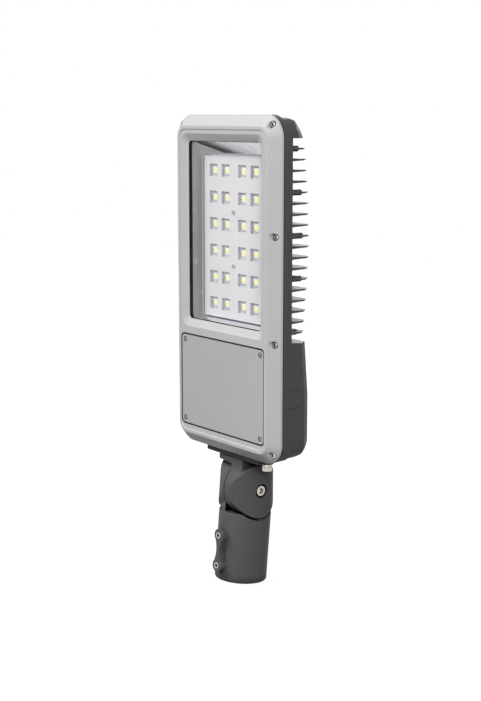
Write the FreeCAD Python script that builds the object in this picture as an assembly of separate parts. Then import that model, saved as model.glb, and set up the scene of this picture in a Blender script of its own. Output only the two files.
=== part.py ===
"""LED street light head on a tilting pole adapter.

Millimetres, +Z up. The origin is the centre of the pole socket's mouth and +Z runs up its bore.
The lit face looks along -Y. The head is drawn in its own upright frame, where x runs across it,
y is the depth behind its front face and z is the height above its bottom edge. It is then placed
on the knuckle's pivot and leaned forward by the rest tilt.
"""
import FreeCAD
import Part
import math
import os

from FreeCAD import Vector

os.makedirs("parts", exist_ok=True)

# Head outline
HEAD_WIDTH = 220.0
HEAD_LENGTH = 454.0
HEAD_CORNER_R = 30.0

# Pivot of the knuckle, seen from the head
PIVOT_BELOW_HEAD = 54.9
PIVOT_DEPTH = 45.2
REST_TILT_DEG = 5.0

# Front frame
BORDER_WIDTH = 14.6
BORDER_DROP = 12.0
FRAME_EDGE_WALL = 4.3
EDGE_BREAK = 0.8
CREST_WIDTH = 4.4
CREST_STEP = 1.0
FRAME_PLATE = 5.5
FRAME_FLANGE = 12.5
CASTING_WALL = 3.0

# Window, heights measured from the head's bottom edge
WINDOW_WIDTH = 154.0
WINDOW_BOTTOM = 176.7
WINDOW_TOP_INSET = 35.3
WINDOW_CORNER_R = 5.0
WINDOW_CHAMFER_WIDTH = 10.4
WINDOW_CHAMFER_DEPTH = 5.0
GLASS_THICKNESS = 3.8
GLASS_LAP = 4.0
SEAL_LIP = 0.8
SEAL_SIDE = 2.4

# Cover plate of the driver compartment
COVER_WIDTH = 179.0
COVER_BOTTOM = 27.8
COVER_TOP = 154.6
COVER_THICKNESS = 2.5
COVER_GAP = 0.8
COVER_SCREW_INSET = 7.5
COVER_SEAL_THICKNESS = 1.2
COVER_LEDGE = 14.0

# Frame screws, as distances in from the head's sides and ends
FRAME_SCREW_SIDE_INSET = 7.7
FRAME_SCREW_HEIGHTS = (301.0, 162.5)
FRAME_SCREW_TOP_INSET = (14.2, 12.8)
FRAME_SCREW_BOTTOM_INSET = (10.8, 15.2)
FRAME_SCREW_SEAT = 11.7
FRAME_COUNTERBORE_R = 4.9
FRAME_SCREW_R = 2.4
FRAME_SCREW_HEAD_R = 3.8
FRAME_SCREW_HEAD_HEIGHT = 2.9

# Housing
SEAL_THICKNESS = 1.0
HOUSING_FLANGE = 8.7
BODY_INSET = 2.0
PLATE_BACK = 33.0
CHAMBER_FLOOR = 28.0
CHAMBER_SIDE_WALL = 13.0

# Fins
FIN_COUNT = 18
FIN_BELOW_BLOCK = 13.0
FIN_ABOVE_BOX = 12.94
FIN_ROOT = 3.5
FIN_TIP = 1.2
FIN_CHAMFER = (9.0, 11.0)
FIN_ARCH_DEPTH = 69.0
FIN_ARCH_Z = 295.0
FIN_ARCH_R = 840.0
POST_R = 3.8
POST_END_INSET = 13.0
POST_XS = (-99.0, -33.0, 33.0, 99.0)
POST_EVERY = 4

# End block above the fins
BLOCK_HEIGHT = 29.6
BLOCK_DEPTH = 57.4
BLOCK_SHOULDER_DEPTH = 37.0
BLOCK_FULLNESS = 0.25
BLOCK_TOP_INSET = 4.0
BLOCK_CORNER_R = 22.0

# Driver box
BOX_TOP = 162.5
BOX_TOP_DEPTH = 63.7
BOX_DEPTH = 69.8
BOX_FULL_DEPTH_Z = 90.0
BOX_BOTTOM_RISE = 28.0
BOX_BOTTOM_RUN = 32.0
BOX_CHAMFER = (10.0, 14.3)
BOX_WALL = 4.0
BOX_TOP_SLOPE = 4.0
LUG_Z = 88.0
LUG_R = 11.0
LUG_END_DEPTH = 50.3

# Neck pad and bracket flange
PAD_HALF_WIDTH = 57.0
PAD_DROP = 11.5
PAD_BREAK = 1.5
PAD_FRONT_DEPTH = 20.0
PAD_BACK_DEPTH = 61.0
FLANGE_HALF_LENGTH = 55.5
FLANGE_HALF_WIDTH = 10.5
BRACKET_BOLT_X = 46.5
BRACKET_BOLT_Y = -2.2
BRACKET_BOLT_R = 4.0
BRACKET_BOLT_HEAD = 6.2
BRACKET_BOLT_AF = 13.0
BRACKET_BOLT_TURN = 38.6
FLAT_WASHER_R = 7.5
FLAT_WASHER_THICKNESS = 1.8
SPRING_WASHER_R = 6.9
SPRING_WASHER_THICKNESS = 2.3
FLANGE_STEP = 2.4
FLANGE_STEP_X = 38.2

# Knuckle
KNUCKLE_DEPTH_R = 38.9
CHEEK_REACH = 33.2
EAR_REACH = 36.5
DISC_R = 38.4
SEAM_X = -3.0
TOOTH_COUNT = 72
TOOTH_HEIGHT = 0.7
TOOTH_CLEARANCE = 0.15
TOOTH_INNER_R = 24.0
NECK_RIGHT_X = 20.8
NECK_FRONT = 25.4
NECK_FILLET_R = 16.0
RIB_LEFT_X = -29.5
RIB_LEFT_DROP = 7.0
RIB_NECK_DROP = 9.4
FLANGE_CLEARANCE = 2.0
PIVOT_BOLT_R = 5.0
PIVOT_CLEARANCE = 0.06
PIVOT_HEAD_R = 8.0
PIVOT_HEAD_HEIGHT = 10.0
PIVOT_HEAD_X = 31.2
PIVOT_COUNTERBORE_R = 10.0
PIVOT_WASHER = 2.0
PIVOT_NUT_AF = 17.0
PIVOT_NUT_HEIGHT = 8.0
NUT_POCKET_FLOOR_X = -24.0
CABLE_HOLE_R = 5.5
CABLE_HOLE_X = 9.0
CABLE_HOLE_Y = -12.5
SOCKET_CABLE_HOLE_R = 17.0

# Pole adapter
SOCKET_R = 36.3
BORE_R = 30.5
BORE_DEPTH = 80.0
PIVOT_HEIGHT = 130.0
RIM_BELOW_PIVOT = 32.8
RIM_ROUND = 1.6
WEB_INSET = 3.2
SADDLE_CLEARANCE = 3.0
SADDLE_FLOOR = 7.0
WEB_TOP_BELOW_PIVOT = 12.0
MOUTH_BREAK = 2.0
PAD_PROUD = 8.0
SET_SCREW_R = 5.0
SET_SCREW_HEIGHTS = (22.0, 64.5)
SET_BOSS_R = 9.0
SET_WAIST = 3.6

# LED module
LED_ROWS = 6
LED_TOP_INSET = 20.2
LED_BOTTOM_INSET = 19.2
LED_XS = (-43.8, -17.6, 17.6, 43.8)
BOARD_THICKNESS = 1.6
BOARD_SIDE = 1.0
BOARD_EDGE = 3.0
PACKAGE_SIZE = 9.0
PACKAGE_HEIGHT = 0.7
PHOSPHOR_R = 3.8
PHOSPHOR_HEIGHT = 0.4
LENS_R = 7.2
LENS_HEIGHT = 3.6
LENS_WALL = 0.8
LENS_RIM = 1.2
PLATE_FRONT_DEPTH = 22.4
PLATE_SIDE_GAP = 6.1
PLATE_MARGIN_Z = 18.6
APERTURE = 16.6
REFLECTOR_BASE_HALF_WIDTH = 74.5
REFLECTOR_TOP_INSET = 18.3
REFLECTOR_BOTTOM_INSET = 4.3
REFLECTOR_SHEET = 0.8
REFLECTOR_LEDGE = 4.4
BOARD_SCREW_GAP = 5.0
BOARD_SCREW_END = 6.0
BOARD_SCREW_R = 1.6

# Driver compartment contents
DRIVER_SIZE = (120.0, 28.0, 46.0)
DRIVER_CENTRE_Z = 112.0
DRIVER_EAR = 9.0
SURGE_SIZE = (38.0, 22.0, 30.0)
SURGE_LEFT_X = -70.0
SURGE_BOTTOM_Z = 40.0
TERMINAL_SIZE = (46.0, 18.0, 20.0)
TERMINAL_LEFT_X = 22.0
TERMINAL_BOTTOM_Z = 42.0
TERMINAL_WIRE_DEPTH = 8.0
TERMINAL_SCREW_Z = 13.0
EARTH_X = -20.0
EARTH_Z = 52.0
GLAND_R = 8.0
GLAND_NUT_SIZE = 2.3
GLAND_ROOM = 2.4
LEAD_R = 2.2
LEAD_X = 40.0
VENT_PAD_GAP = 9.0
VENT_DEPTH = 31.5
VENT_CAP_R = 6.0
VENT_STEM_R = 4.0
DRIVER_EAR_THICKNESS = 2.0
DRIVER_SCREW_R = 1.9
DRIVER_SCREW_DEPTH = 2.0
DRIVER_SCREW_HEAD = 2.4
DRIVER_SCREW_HEAD_R = 3.6

FIT_GAP = 0.3


def box(x0, x1, y0, y1, z0, z1):
    """A block between two corners."""
    return Part.makeBox(x1 - x0, y1 - y0, z1 - z0, Vector(x0, y0, z0))


def rod(radius, start, end):
    """A round bar from one point to another."""
    run = end - start
    return Part.makeCylinder(radius, run.Length, start, run)


def outline(x0, x1, z0, z1, radius, depth):
    """A rounded rectangle across the head at one depth."""
    radius = min(radius, (x1 - x0) / 2 - 0.01, (z1 - z0) / 2 - 0.01)
    corners = (
        (x1 - radius, z1 - radius),
        (x0 + radius, z1 - radius),
        (x0 + radius, z0 + radius),
        (x1 - radius, z0 + radius),
    )
    edges = []
    points = []
    for quarter, (cx, cz) in enumerate(corners):
        arc = [math.pi / 2 * (quarter + part) for part in (0.0, 0.5, 1.0)]
        points.append([Vector(cx + radius * math.cos(a), depth, cz + radius * math.sin(a)) for a in arc])
    for index, arc in enumerate(points):
        edges.append(Part.Arc(*arc).toShape())
        following = points[(index + 1) % len(points)]
        edges.append(Part.LineSegment(arc[2], following[0]).toShape())
    return Part.Wire(edges)


def slab(x0, x1, z0, z1, radius, y0, y1):
    """A rounded rectangular plate between two depths."""
    face = Part.Face(outline(x0, x1, z0, z1, radius, y0))
    return face.extrude(Vector(0, y1 - y0, 0))


def tapered(first, second):
    """A straight-sided body between two outlines, each (x0, x1, z0, z1, radius, depth)."""
    return Part.makeLoft([outline(*first), outline(*second)], True, True)


def head_outline(inset, depth):
    """The head's own outline, drawn in by an inset, as the arguments of outline()."""
    half = HEAD_WIDTH / 2 - inset
    return (-half, half, inset, HEAD_LENGTH - inset, HEAD_CORNER_R - inset, depth)


def head_slab(inset, y0, y1):
    """A plate with the head's outline between two depths."""
    x0, x1, z0, z1, radius, _ = head_outline(inset, y0)
    return slab(x0, x1, z0, z1, radius, y0, y1)


def prism_x(points, x0, x1):
    """A side profile of (depth, height) points, or arcs of three, run across the head."""
    edges = []
    here = None
    for item in points:
        if len(item) == 3:
            a, b, c = [Vector(x0, y, z) for y, z in item]
            if here is not None and (here - a).Length > 1e-6:
                edges.append(Part.LineSegment(here, a).toShape())
            edges.append(Part.Arc(a, b, c).toShape())
            here = c
        else:
            point = Vector(x0, item[0], item[1])
            if here is not None and (here - point).Length > 1e-6:
                edges.append(Part.LineSegment(here, point).toShape())
            here = point
    first = points[0][0] if len(points[0]) == 3 else points[0]
    start = Vector(x0, first[0], first[1])
    if (here - start).Length > 1e-6:
        edges.append(Part.LineSegment(here, start).toShape())
    return Part.Face(Part.Wire(edges)).extrude(Vector(x1 - x0, 0, 0))


def prism_z(points, z0, z1):
    """A plan of (x, depth) points run upwards."""
    corners = [Vector(x, y, z0) for x, y in points]
    return Part.Face(Part.makePolygon(corners + corners[:1])).extrude(Vector(0, 0, z1 - z0))


def hexagon(across_flats, start, run, turn=0.0):
    """A hexagonal bar along run."""
    radius = across_flats / math.sqrt(3)
    along = Vector(run).normalize()
    side = Vector(1, 0, 0) if abs(along.x) < 0.9 else Vector(0, 0, 1)
    u = along.cross(side).normalize()
    v = along.cross(u)
    corners = []
    for index in range(6):
        angle = math.radians(60 * index + turn)
        corners.append(start + u * (radius * math.cos(angle)) + v * (radius * math.sin(angle)))
    return Part.Face(Part.makePolygon(corners + corners[:1])).extrude(run)


def joined(shapes):
    """One shape from several, with needless seams removed."""
    first = shapes[0]
    if len(shapes) > 1:
        first = first.fuse(shapes[1:])
    return first.removeSplitter()


def group(shapes):
    """Separate like pieces kept in one node."""
    return Part.makeCompound(shapes)


# Depths that several pieces share
FRAME_BACK = BORDER_DROP + FRAME_EDGE_WALL
HOUSING_FACE = FRAME_BACK + SEAL_THICKNESS
BODY_START = FRAME_BACK + HOUSING_FLANGE
FACE_DEPTH = CREST_STEP
WINDOW_LIP_DEPTH = FACE_DEPTH + WINDOW_CHAMFER_DEPTH
GLASS_FRONT = WINDOW_LIP_DEPTH + SEAL_LIP
GLASS_BACK = GLASS_FRONT + GLASS_THICKNESS
SEAL_BACK = GLASS_BACK + SEAL_LIP
BOARD_FRONT = CHAMBER_FLOOR - BOARD_THICKNESS
PACKAGE_FRONT = BOARD_FRONT - PACKAGE_HEIGHT
REFLECTOR_BASE_DEPTH = BOARD_FRONT - REFLECTOR_SHEET
WINDOW_HALF = WINDOW_WIDTH / 2
WINDOW_TOP = HEAD_LENGTH - WINDOW_TOP_INSET
REFLECTOR_BASE_TOP = WINDOW_TOP - REFLECTOR_TOP_INSET
REFLECTOR_BASE_BOTTOM = WINDOW_BOTTOM + REFLECTOR_BOTTOM_INSET
POCKET_HALF = WINDOW_HALF + GLASS_LAP + SEAL_SIDE
COVER_HALF = COVER_WIDTH / 2
COVER_SEAT = FACE_DEPTH + COVER_THICKNESS
COVER_BACK_SEAT = COVER_SEAT + COVER_SEAL_THICKNESS
BODY_BOTTOM = BODY_INSET
BODY_HALF = HEAD_WIDTH / 2 - BODY_INSET
BODY_TOP = HEAD_LENGTH - BODY_INSET
PAD_BOTTOM = BODY_BOTTOM - PAD_DROP
PIVOT_Z = -PIVOT_BELOW_HEAD
FLANGE_BOTTOM = PIVOT_Z + DISC_R + FLANGE_CLEARANCE
BOLT_SEAT = FLANGE_BOTTOM + FLANGE_STEP
COVER_SCREWS = [
    (sx * (COVER_HALF - COVER_SCREW_INSET), z)
    for sx in (-1, 1)
    for z in (COVER_BOTTOM + COVER_SCREW_INSET, COVER_TOP - COVER_SCREW_INSET)
]
FRAME_SCREW_PLACES = [(HEAD_WIDTH / 2 - FRAME_SCREW_SIDE_INSET, z) for z in FRAME_SCREW_HEIGHTS]
FRAME_SCREW_PLACES += [
    (HEAD_WIDTH / 2 - FRAME_SCREW_TOP_INSET[0], HEAD_LENGTH - FRAME_SCREW_TOP_INSET[1]),
    (HEAD_WIDTH / 2 - FRAME_SCREW_BOTTOM_INSET[0], FRAME_SCREW_BOTTOM_INSET[1]),
]
FRAME_SCREWS = [(sx * x, z) for sx in (-1, 1) for x, z in FRAME_SCREW_PLACES]
LED_TOP_Z = REFLECTOR_BASE_TOP - LED_TOP_INSET
LED_BOTTOM_Z = REFLECTOR_BASE_BOTTOM + LED_BOTTOM_INSET
LED_PITCH_Z = (LED_TOP_Z - LED_BOTTOM_Z) / (LED_ROWS - 1)
LED_PLACES = [(x, LED_TOP_Z - LED_PITCH_Z * row) for row in range(LED_ROWS) for x in LED_XS]
PLATE_HALF_WIDTH = REFLECTOR_BASE_HALF_WIDTH - REFLECTOR_LEDGE - PLATE_SIDE_GAP
PLATE_BOTTOM = LED_BOTTOM_Z - PLATE_MARGIN_Z
PLATE_TOP = LED_TOP_Z + PLATE_MARGIN_Z
BOARD_HALF_WIDTH = REFLECTOR_BASE_HALF_WIDTH + BOARD_SIDE
BLOCK_UNDERSIDE = HEAD_LENGTH - BLOCK_HEIGHT
FIN_TOP_Z = BLOCK_UNDERSIDE - FIN_BELOW_BLOCK
FIN_PITCH = (FIN_TOP_Z - BOX_TOP - FIN_ABOVE_BOX) / (FIN_COUNT - 1)
CHAMBER_HALF = HEAD_WIDTH / 2 - CHAMBER_SIDE_WALL
CHAMBER_TOP = HEAD_LENGTH - CHAMBER_SIDE_WALL - 8.0
CHAMBER_BOTTOM = BOX_TOP + 3.0
COMPARTMENT_TOP = BOX_TOP - 5.0
COMPARTMENT_BOTTOM = CHAMBER_SIDE_WALL


def arch_depth(z):
    """Depth of the fins' arched envelope at a height."""
    rise = z - FIN_ARCH_Z
    return FIN_ARCH_DEPTH - (FIN_ARCH_R - math.sqrt(FIN_ARCH_R ** 2 - rise ** 2))


def chamfered_plan(depth, start, chamfer):
    """Plan of the body at one height: square at the sides, its back corners cut off."""
    across, along = chamfer
    near = depth - along
    inner = BODY_HALF - across
    return [
        (-BODY_HALF, start),
        (BODY_HALF, start),
        (BODY_HALF, near),
        (inner, depth),
        (-inner, depth),
        (-BODY_HALF, near),
    ]


def front_frame():
    """Light grey casting: sloped border, crest, window opening and seat of the cover plate."""
    border = BORDER_WIDTH
    edge = head_slab(0.0, BORDER_DROP + EDGE_BREAK, FRAME_BACK)
    rounding = tapered(head_outline(EDGE_BREAK, BORDER_DROP), head_outline(0.0, BORDER_DROP + EDGE_BREAK))
    slope = tapered(head_outline(border, 0.0), head_outline(EDGE_BREAK, BORDER_DROP))
    body = joined([edge, rounding, slope])

    crest_inset = border + CREST_WIDTH
    step = tapered(head_outline(crest_inset, 0.0), head_outline(crest_inset + CREST_STEP, FACE_DEPTH))
    underside = tapered(head_outline(FRAME_FLANGE, FRAME_BACK), head_outline(FRAME_FLANGE + 2.0, FACE_DEPTH + FRAME_PLATE))
    body = body.cut([step, underside])

    pocket_wall = POCKET_HALF + CASTING_WALL
    window_wall = slab(-pocket_wall, pocket_wall, WINDOW_BOTTOM - GLASS_LAP - SEAL_SIDE - CASTING_WALL,
                       WINDOW_TOP + GLASS_LAP + SEAL_SIDE + CASTING_WALL, WINDOW_CORNER_R + 6.0,
                       FACE_DEPTH + FRAME_PLATE - 0.5, FRAME_BACK)
    ledge = COVER_HALF + COVER_GAP
    cover_wall = slab(-ledge, ledge, COVER_BOTTOM - COVER_GAP, COVER_TOP + COVER_GAP, COVER_SCREW_INSET,
                      FACE_DEPTH + FRAME_PLATE - 0.5, COVER_BACK_SEAT + CASTING_WALL + 1.5)
    body = body.fuse([window_wall, cover_wall])

    wide = WINDOW_CHAMFER_WIDTH
    chamfer = tapered(
        (-WINDOW_HALF - wide, WINDOW_HALF + wide, WINDOW_BOTTOM - wide, WINDOW_TOP + wide,
         WINDOW_CORNER_R + 7.0, FACE_DEPTH),
        (-WINDOW_HALF, WINDOW_HALF, WINDOW_BOTTOM, WINDOW_TOP, WINDOW_CORNER_R, WINDOW_LIP_DEPTH),
    )
    opening = slab(-WINDOW_HALF, WINDOW_HALF, WINDOW_BOTTOM, WINDOW_TOP, WINDOW_CORNER_R,
                   WINDOW_LIP_DEPTH, FRAME_BACK)
    lap = GLASS_LAP + SEAL_SIDE
    pocket = slab(-POCKET_HALF, POCKET_HALF, WINDOW_BOTTOM - lap, WINDOW_TOP + lap, WINDOW_CORNER_R + 3.0,
                  WINDOW_LIP_DEPTH, FRAME_BACK)
    seat = slab(-ledge, ledge, COVER_BOTTOM - COVER_GAP, COVER_TOP + COVER_GAP, COVER_SCREW_INSET,
                FACE_DEPTH, COVER_BACK_SEAT)
    access_half = COVER_HALF - COVER_LEDGE
    access = slab(-access_half, access_half, COVER_BOTTOM + COVER_LEDGE, COVER_TOP - COVER_LEDGE,
                  COVER_SCREW_INSET, FACE_DEPTH, FRAME_BACK)
    body = body.cut([chamfer, opening, pocket, seat, access])

    holes = []
    for x, z in FRAME_SCREWS:
        holes.append(rod(FRAME_COUNTERBORE_R, Vector(x, -1, z), Vector(x, FRAME_SCREW_SEAT, z)))
        holes.append(rod(FRAME_SCREW_R + 0.2, Vector(x, 0, z), Vector(x, FRAME_BACK + 1, z)))
    for x, z in COVER_SCREWS:
        holes.append(rod(1.7, Vector(x, 0, z), Vector(x, FRAME_BACK, z)))
    return body.cut(holes).removeSplitter()


def frame_gasket():
    """Flat seal between the frame's flange and the housing."""
    outer = head_slab(2.0, FRAME_BACK, HOUSING_FACE)
    inner = head_slab(FRAME_FLANGE - 1.0, FRAME_BACK - 1, HOUSING_FACE + 1)
    holes = [rod(FRAME_SCREW_R + 0.3, Vector(x, 0, z), Vector(x, PLATE_BACK, z)) for x, z in FRAME_SCREWS]
    return outer.cut([inner] + holes)


def screw_head(x, z, seat, radius, height, recess_r):
    """Round screw head with a hex recess, its seat at a depth."""
    head = rod(radius, Vector(x, seat, z), Vector(x, seat - height, z))
    recess = hexagon(recess_r * math.sqrt(3), Vector(x, seat - height, z), Vector(0, height * 0.6, 0))
    return head.cut(recess)


def frame_screws():
    """Eight cap screws in the frame's counterbores."""
    screws = []
    for x, z in FRAME_SCREWS:
        head = screw_head(x, z, FRAME_SCREW_SEAT, FRAME_SCREW_HEAD_R, FRAME_SCREW_HEAD_HEIGHT, 2.3)
        shank = rod(FRAME_SCREW_R, Vector(x, FRAME_SCREW_SEAT, z), Vector(x, FRAME_BACK + 9.0, z))
        screws.append(head.fuse(shank))
    return group(screws)


def driver_cover():
    """Plain plate over the driver compartment."""
    plate = slab(-COVER_HALF, COVER_HALF, COVER_BOTTOM, COVER_TOP, COVER_SCREW_INSET - COVER_GAP,
                 FACE_DEPTH, COVER_SEAT)
    holes = []
    for x, z in COVER_SCREWS:
        holes.append(rod(1.9, Vector(x, 0, z), Vector(x, COVER_SEAT + 1, z)))
        holes.append(Part.makeCone(3.6, 1.9, 1.7, Vector(x, FACE_DEPTH, z), Vector(0, 1, 0)))
    return plate.cut(holes)


def cover_gasket():
    """Flat seal under the cover plate's edge."""
    outer = slab(-COVER_HALF, COVER_HALF, COVER_BOTTOM, COVER_TOP, COVER_SCREW_INSET - COVER_GAP,
                 COVER_SEAT, COVER_BACK_SEAT)
    half = COVER_HALF - COVER_LEDGE
    inner = slab(-half, half, COVER_BOTTOM + COVER_LEDGE, COVER_TOP - COVER_LEDGE, COVER_SCREW_INSET,
                 COVER_SEAT - 1, COVER_BACK_SEAT + 1)
    holes = [rod(2.0, Vector(x, 0, z), Vector(x, FRAME_BACK, z)) for x, z in COVER_SCREWS]
    return outer.cut([inner] + holes)


def cover_screws():
    """Four countersunk screws of the cover plate."""
    screws = []
    for x, z in COVER_SCREWS:
        head = Part.makeCone(3.3, 1.7, 1.6, Vector(x, FACE_DEPTH + 0.1, z), Vector(0, 1, 0))
        recess = hexagon(2.4, Vector(x, FACE_DEPTH + 0.1, z), Vector(0, 1.2, 0))
        shank = rod(1.6, Vector(x, FACE_DEPTH + 1.7, z), Vector(x, COVER_BACK_SEAT + CASTING_WALL + 1.0, z))
        screws.append(head.fuse(shank).cut(recess))
    return group(screws)


def window_glass():
    """Clear flat pane."""
    lap = GLASS_LAP
    return slab(-WINDOW_HALF - lap, WINDOW_HALF + lap, WINDOW_BOTTOM - lap, WINDOW_TOP + lap,
                WINDOW_CORNER_R + 1.5, GLASS_FRONT, GLASS_BACK)


def glass_gasket():
    """Black channel seal that wraps the pane's edge."""
    lap = GLASS_LAP + SEAL_SIDE
    ring = slab(-POCKET_HALF, POCKET_HALF, WINDOW_BOTTOM - lap, WINDOW_TOP + lap, WINDOW_CORNER_R + 3.0,
                WINDOW_LIP_DEPTH, SEAL_BACK)
    clear = slab(-WINDOW_HALF, WINDOW_HALF, WINDOW_BOTTOM, WINDOW_TOP, WINDOW_CORNER_R,
                 WINDOW_LIP_DEPTH - 1, SEAL_BACK + 1)
    return ring.cut([clear, window_glass()])


def reflector_frame():
    """Bright walls from the pane's seal down to the board, with a foot along each side."""
    rim = (-WINDOW_HALF - 1.0, WINDOW_HALF + 1.0, WINDOW_BOTTOM - 1.0, WINDOW_TOP + 1.0, 3.0, SEAL_BACK)
    base = (-REFLECTOR_BASE_HALF_WIDTH, REFLECTOR_BASE_HALF_WIDTH, REFLECTOR_BASE_BOTTOM,
            REFLECTOR_BASE_TOP, 1.5, REFLECTOR_BASE_DEPTH)
    sheet = REFLECTOR_SHEET
    outer_rim = (rim[0] - sheet, rim[1] + sheet, rim[2] - sheet, rim[3] + sheet, rim[4] + sheet, rim[5])
    outer_base = (base[0] - sheet, base[1] + sheet, base[2] - sheet, base[3] + sheet, base[4] + sheet, base[5])
    walls = tapered(outer_rim, outer_base).cut(tapered(rim, base))
    half = REFLECTOR_BASE_HALF_WIDTH + sheet
    foot = slab(-half, half, REFLECTOR_BASE_BOTTOM - sheet, REFLECTOR_BASE_TOP + sheet, 2.0,
                REFLECTOR_BASE_DEPTH, BOARD_FRONT)
    inner = REFLECTOR_BASE_HALF_WIDTH - REFLECTOR_LEDGE
    foot = foot.cut(slab(-inner, inner, PLATE_BOTTOM - FIT_GAP, PLATE_TOP + FIT_GAP, 1.0,
                         REFLECTOR_BASE_DEPTH - 1, BOARD_FRONT + 1))
    return walls.fuse(foot).removeSplitter()


def lens_plate():
    """White plate with a square opening over each LED."""
    plate = slab(-PLATE_HALF_WIDTH, PLATE_HALF_WIDTH, PLATE_BOTTOM, PLATE_TOP, 1.5,
                 PLATE_FRONT_DEPTH, BOARD_FRONT)
    half = APERTURE / 2
    cuts = [box(x - half, x + half, PLATE_FRONT_DEPTH - 1, BOARD_FRONT + 1, z - half, z + half)
            for x, z in LED_PLACES]
    cuts += [rod(1.7, Vector(0, PLATE_FRONT_DEPTH - 1, z), Vector(0, BOARD_FRONT + 1, z))
             for z in plate_screw_heights()]
    return plate.cut(cuts)


def plate_screw_heights():
    """Heights of the two screws on the lens plate's centre line."""
    return (LED_TOP_Z - 1.5 * LED_PITCH_Z, LED_TOP_Z - 3.5 * LED_PITCH_Z)


def lens_plate_screws():
    """Two small pan-head screws."""
    screws = []
    for z in plate_screw_heights():
        head = rod(2.8, Vector(0, PLATE_FRONT_DEPTH, z), Vector(0, PLATE_FRONT_DEPTH - 1.8, z))
        recess = hexagon(2.0, Vector(0, PLATE_FRONT_DEPTH - 1.8, z), Vector(0, 1.0, 0))
        shank = rod(1.5, Vector(0, PLATE_FRONT_DEPTH, z), Vector(0, PLATE_BACK - 1.5, z))
        screws.append(head.fuse(shank).cut(recess))
    return group(screws)


BOARD_SCREWS = [
    (sx * (PLATE_HALF_WIDTH + BOARD_SCREW_GAP), z)
    for sx in (-1, 1)
    for z in (PLATE_BOTTOM + BOARD_SCREW_END, (PLATE_BOTTOM + PLATE_TOP) / 2, PLATE_TOP - BOARD_SCREW_END)
]


def led_board():
    """Aluminium board that carries the LEDs."""
    board = slab(-BOARD_HALF_WIDTH, BOARD_HALF_WIDTH, CHAMBER_BOTTOM + BOARD_EDGE, REFLECTOR_BASE_TOP + 6.0, 2.0,
                 BOARD_FRONT, CHAMBER_FLOOR)
    holes = [rod(BOARD_SCREW_R + 0.1, Vector(x, 0, z), Vector(x, PLATE_BACK, z)) for x, z in BOARD_SCREWS]
    holes += [rod(1.6, Vector(0, 0, z), Vector(0, PLATE_BACK, z)) for z in plate_screw_heights()]
    return board.cut(holes)


def led_packages():
    """White ceramic bases of the LEDs."""
    half = PACKAGE_SIZE / 2
    return group([box(x - half, x + half, PACKAGE_FRONT, BOARD_FRONT, z - half, z + half)
                  for x, z in LED_PLACES])


def led_phosphors():
    """Yellow round emitters on the bases."""
    return group([rod(PHOSPHOR_R, Vector(x, PACKAGE_FRONT, z), Vector(x, PACKAGE_FRONT - PHOSPHOR_HEIGHT, z))
                  for x, z in LED_PLACES])


def one_lens():
    """Clear dome on a short rim, open behind, drawn about the origin and looking along -Y."""
    crown = LENS_HEIGHT - LENS_RIM
    radius = (LENS_R ** 2 + crown ** 2) / (2 * crown)
    centre = radius - LENS_HEIGHT
    rim = rod(LENS_R, Vector(0, 0, 0), Vector(0, -LENS_HEIGHT, 0))
    dome = rim.common(Part.makeSphere(radius, Vector(0, centre, 0)))
    hollow = rod(LENS_R - LENS_WALL, Vector(0, 1, 0), Vector(0, -LENS_HEIGHT, 0))
    return dome.cut(hollow.common(Part.makeSphere(radius - LENS_WALL, Vector(0, centre, 0))))


def led_lenses():
    """One small dome over each LED."""
    lens = one_lens()
    lenses = []
    for x, z in LED_PLACES:
        copy = lens.copy()
        copy.translate(Vector(x, BOARD_FRONT, z))
        lenses.append(copy)
    return group(lenses)


def board_screws():
    """Screws that hold the board down, under the reflector's foot."""
    screws = []
    for x, z in BOARD_SCREWS:
        screws.append(rod(BOARD_SCREW_R, Vector(x, BOARD_FRONT, z), Vector(x, PLATE_BACK - 1.5, z)))
    return group(screws)


CONNECTOR_Z = CHAMBER_BOTTOM + BOARD_EDGE + 4.0
LEAD_DEPTH = BOARD_FRONT - 3.0


def board_connector():
    """Small white connector on the board's bottom edge."""
    return box(LEAD_X - 5, LEAD_X + 5, BOARD_FRONT - 5.5, BOARD_FRONT, CONNECTOR_Z - 3.5, CONNECTOR_Z + 3.5)


def lead_grommet():
    """Rubber grommet in the wall between the two chambers."""
    top = CHAMBER_BOTTOM
    bottom = COMPARTMENT_TOP
    sleeve = rod(4.0, Vector(LEAD_X, LEAD_DEPTH, bottom), Vector(LEAD_X, LEAD_DEPTH, top))
    lips = [rod(5.5, Vector(LEAD_X, LEAD_DEPTH, bottom - 1.2), Vector(LEAD_X, LEAD_DEPTH, bottom))]
    bore = rod(LEAD_R, Vector(LEAD_X, LEAD_DEPTH, bottom - 3), Vector(LEAD_X, LEAD_DEPTH, top + 3))
    return joined([sleeve] + lips).cut(bore)


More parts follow.
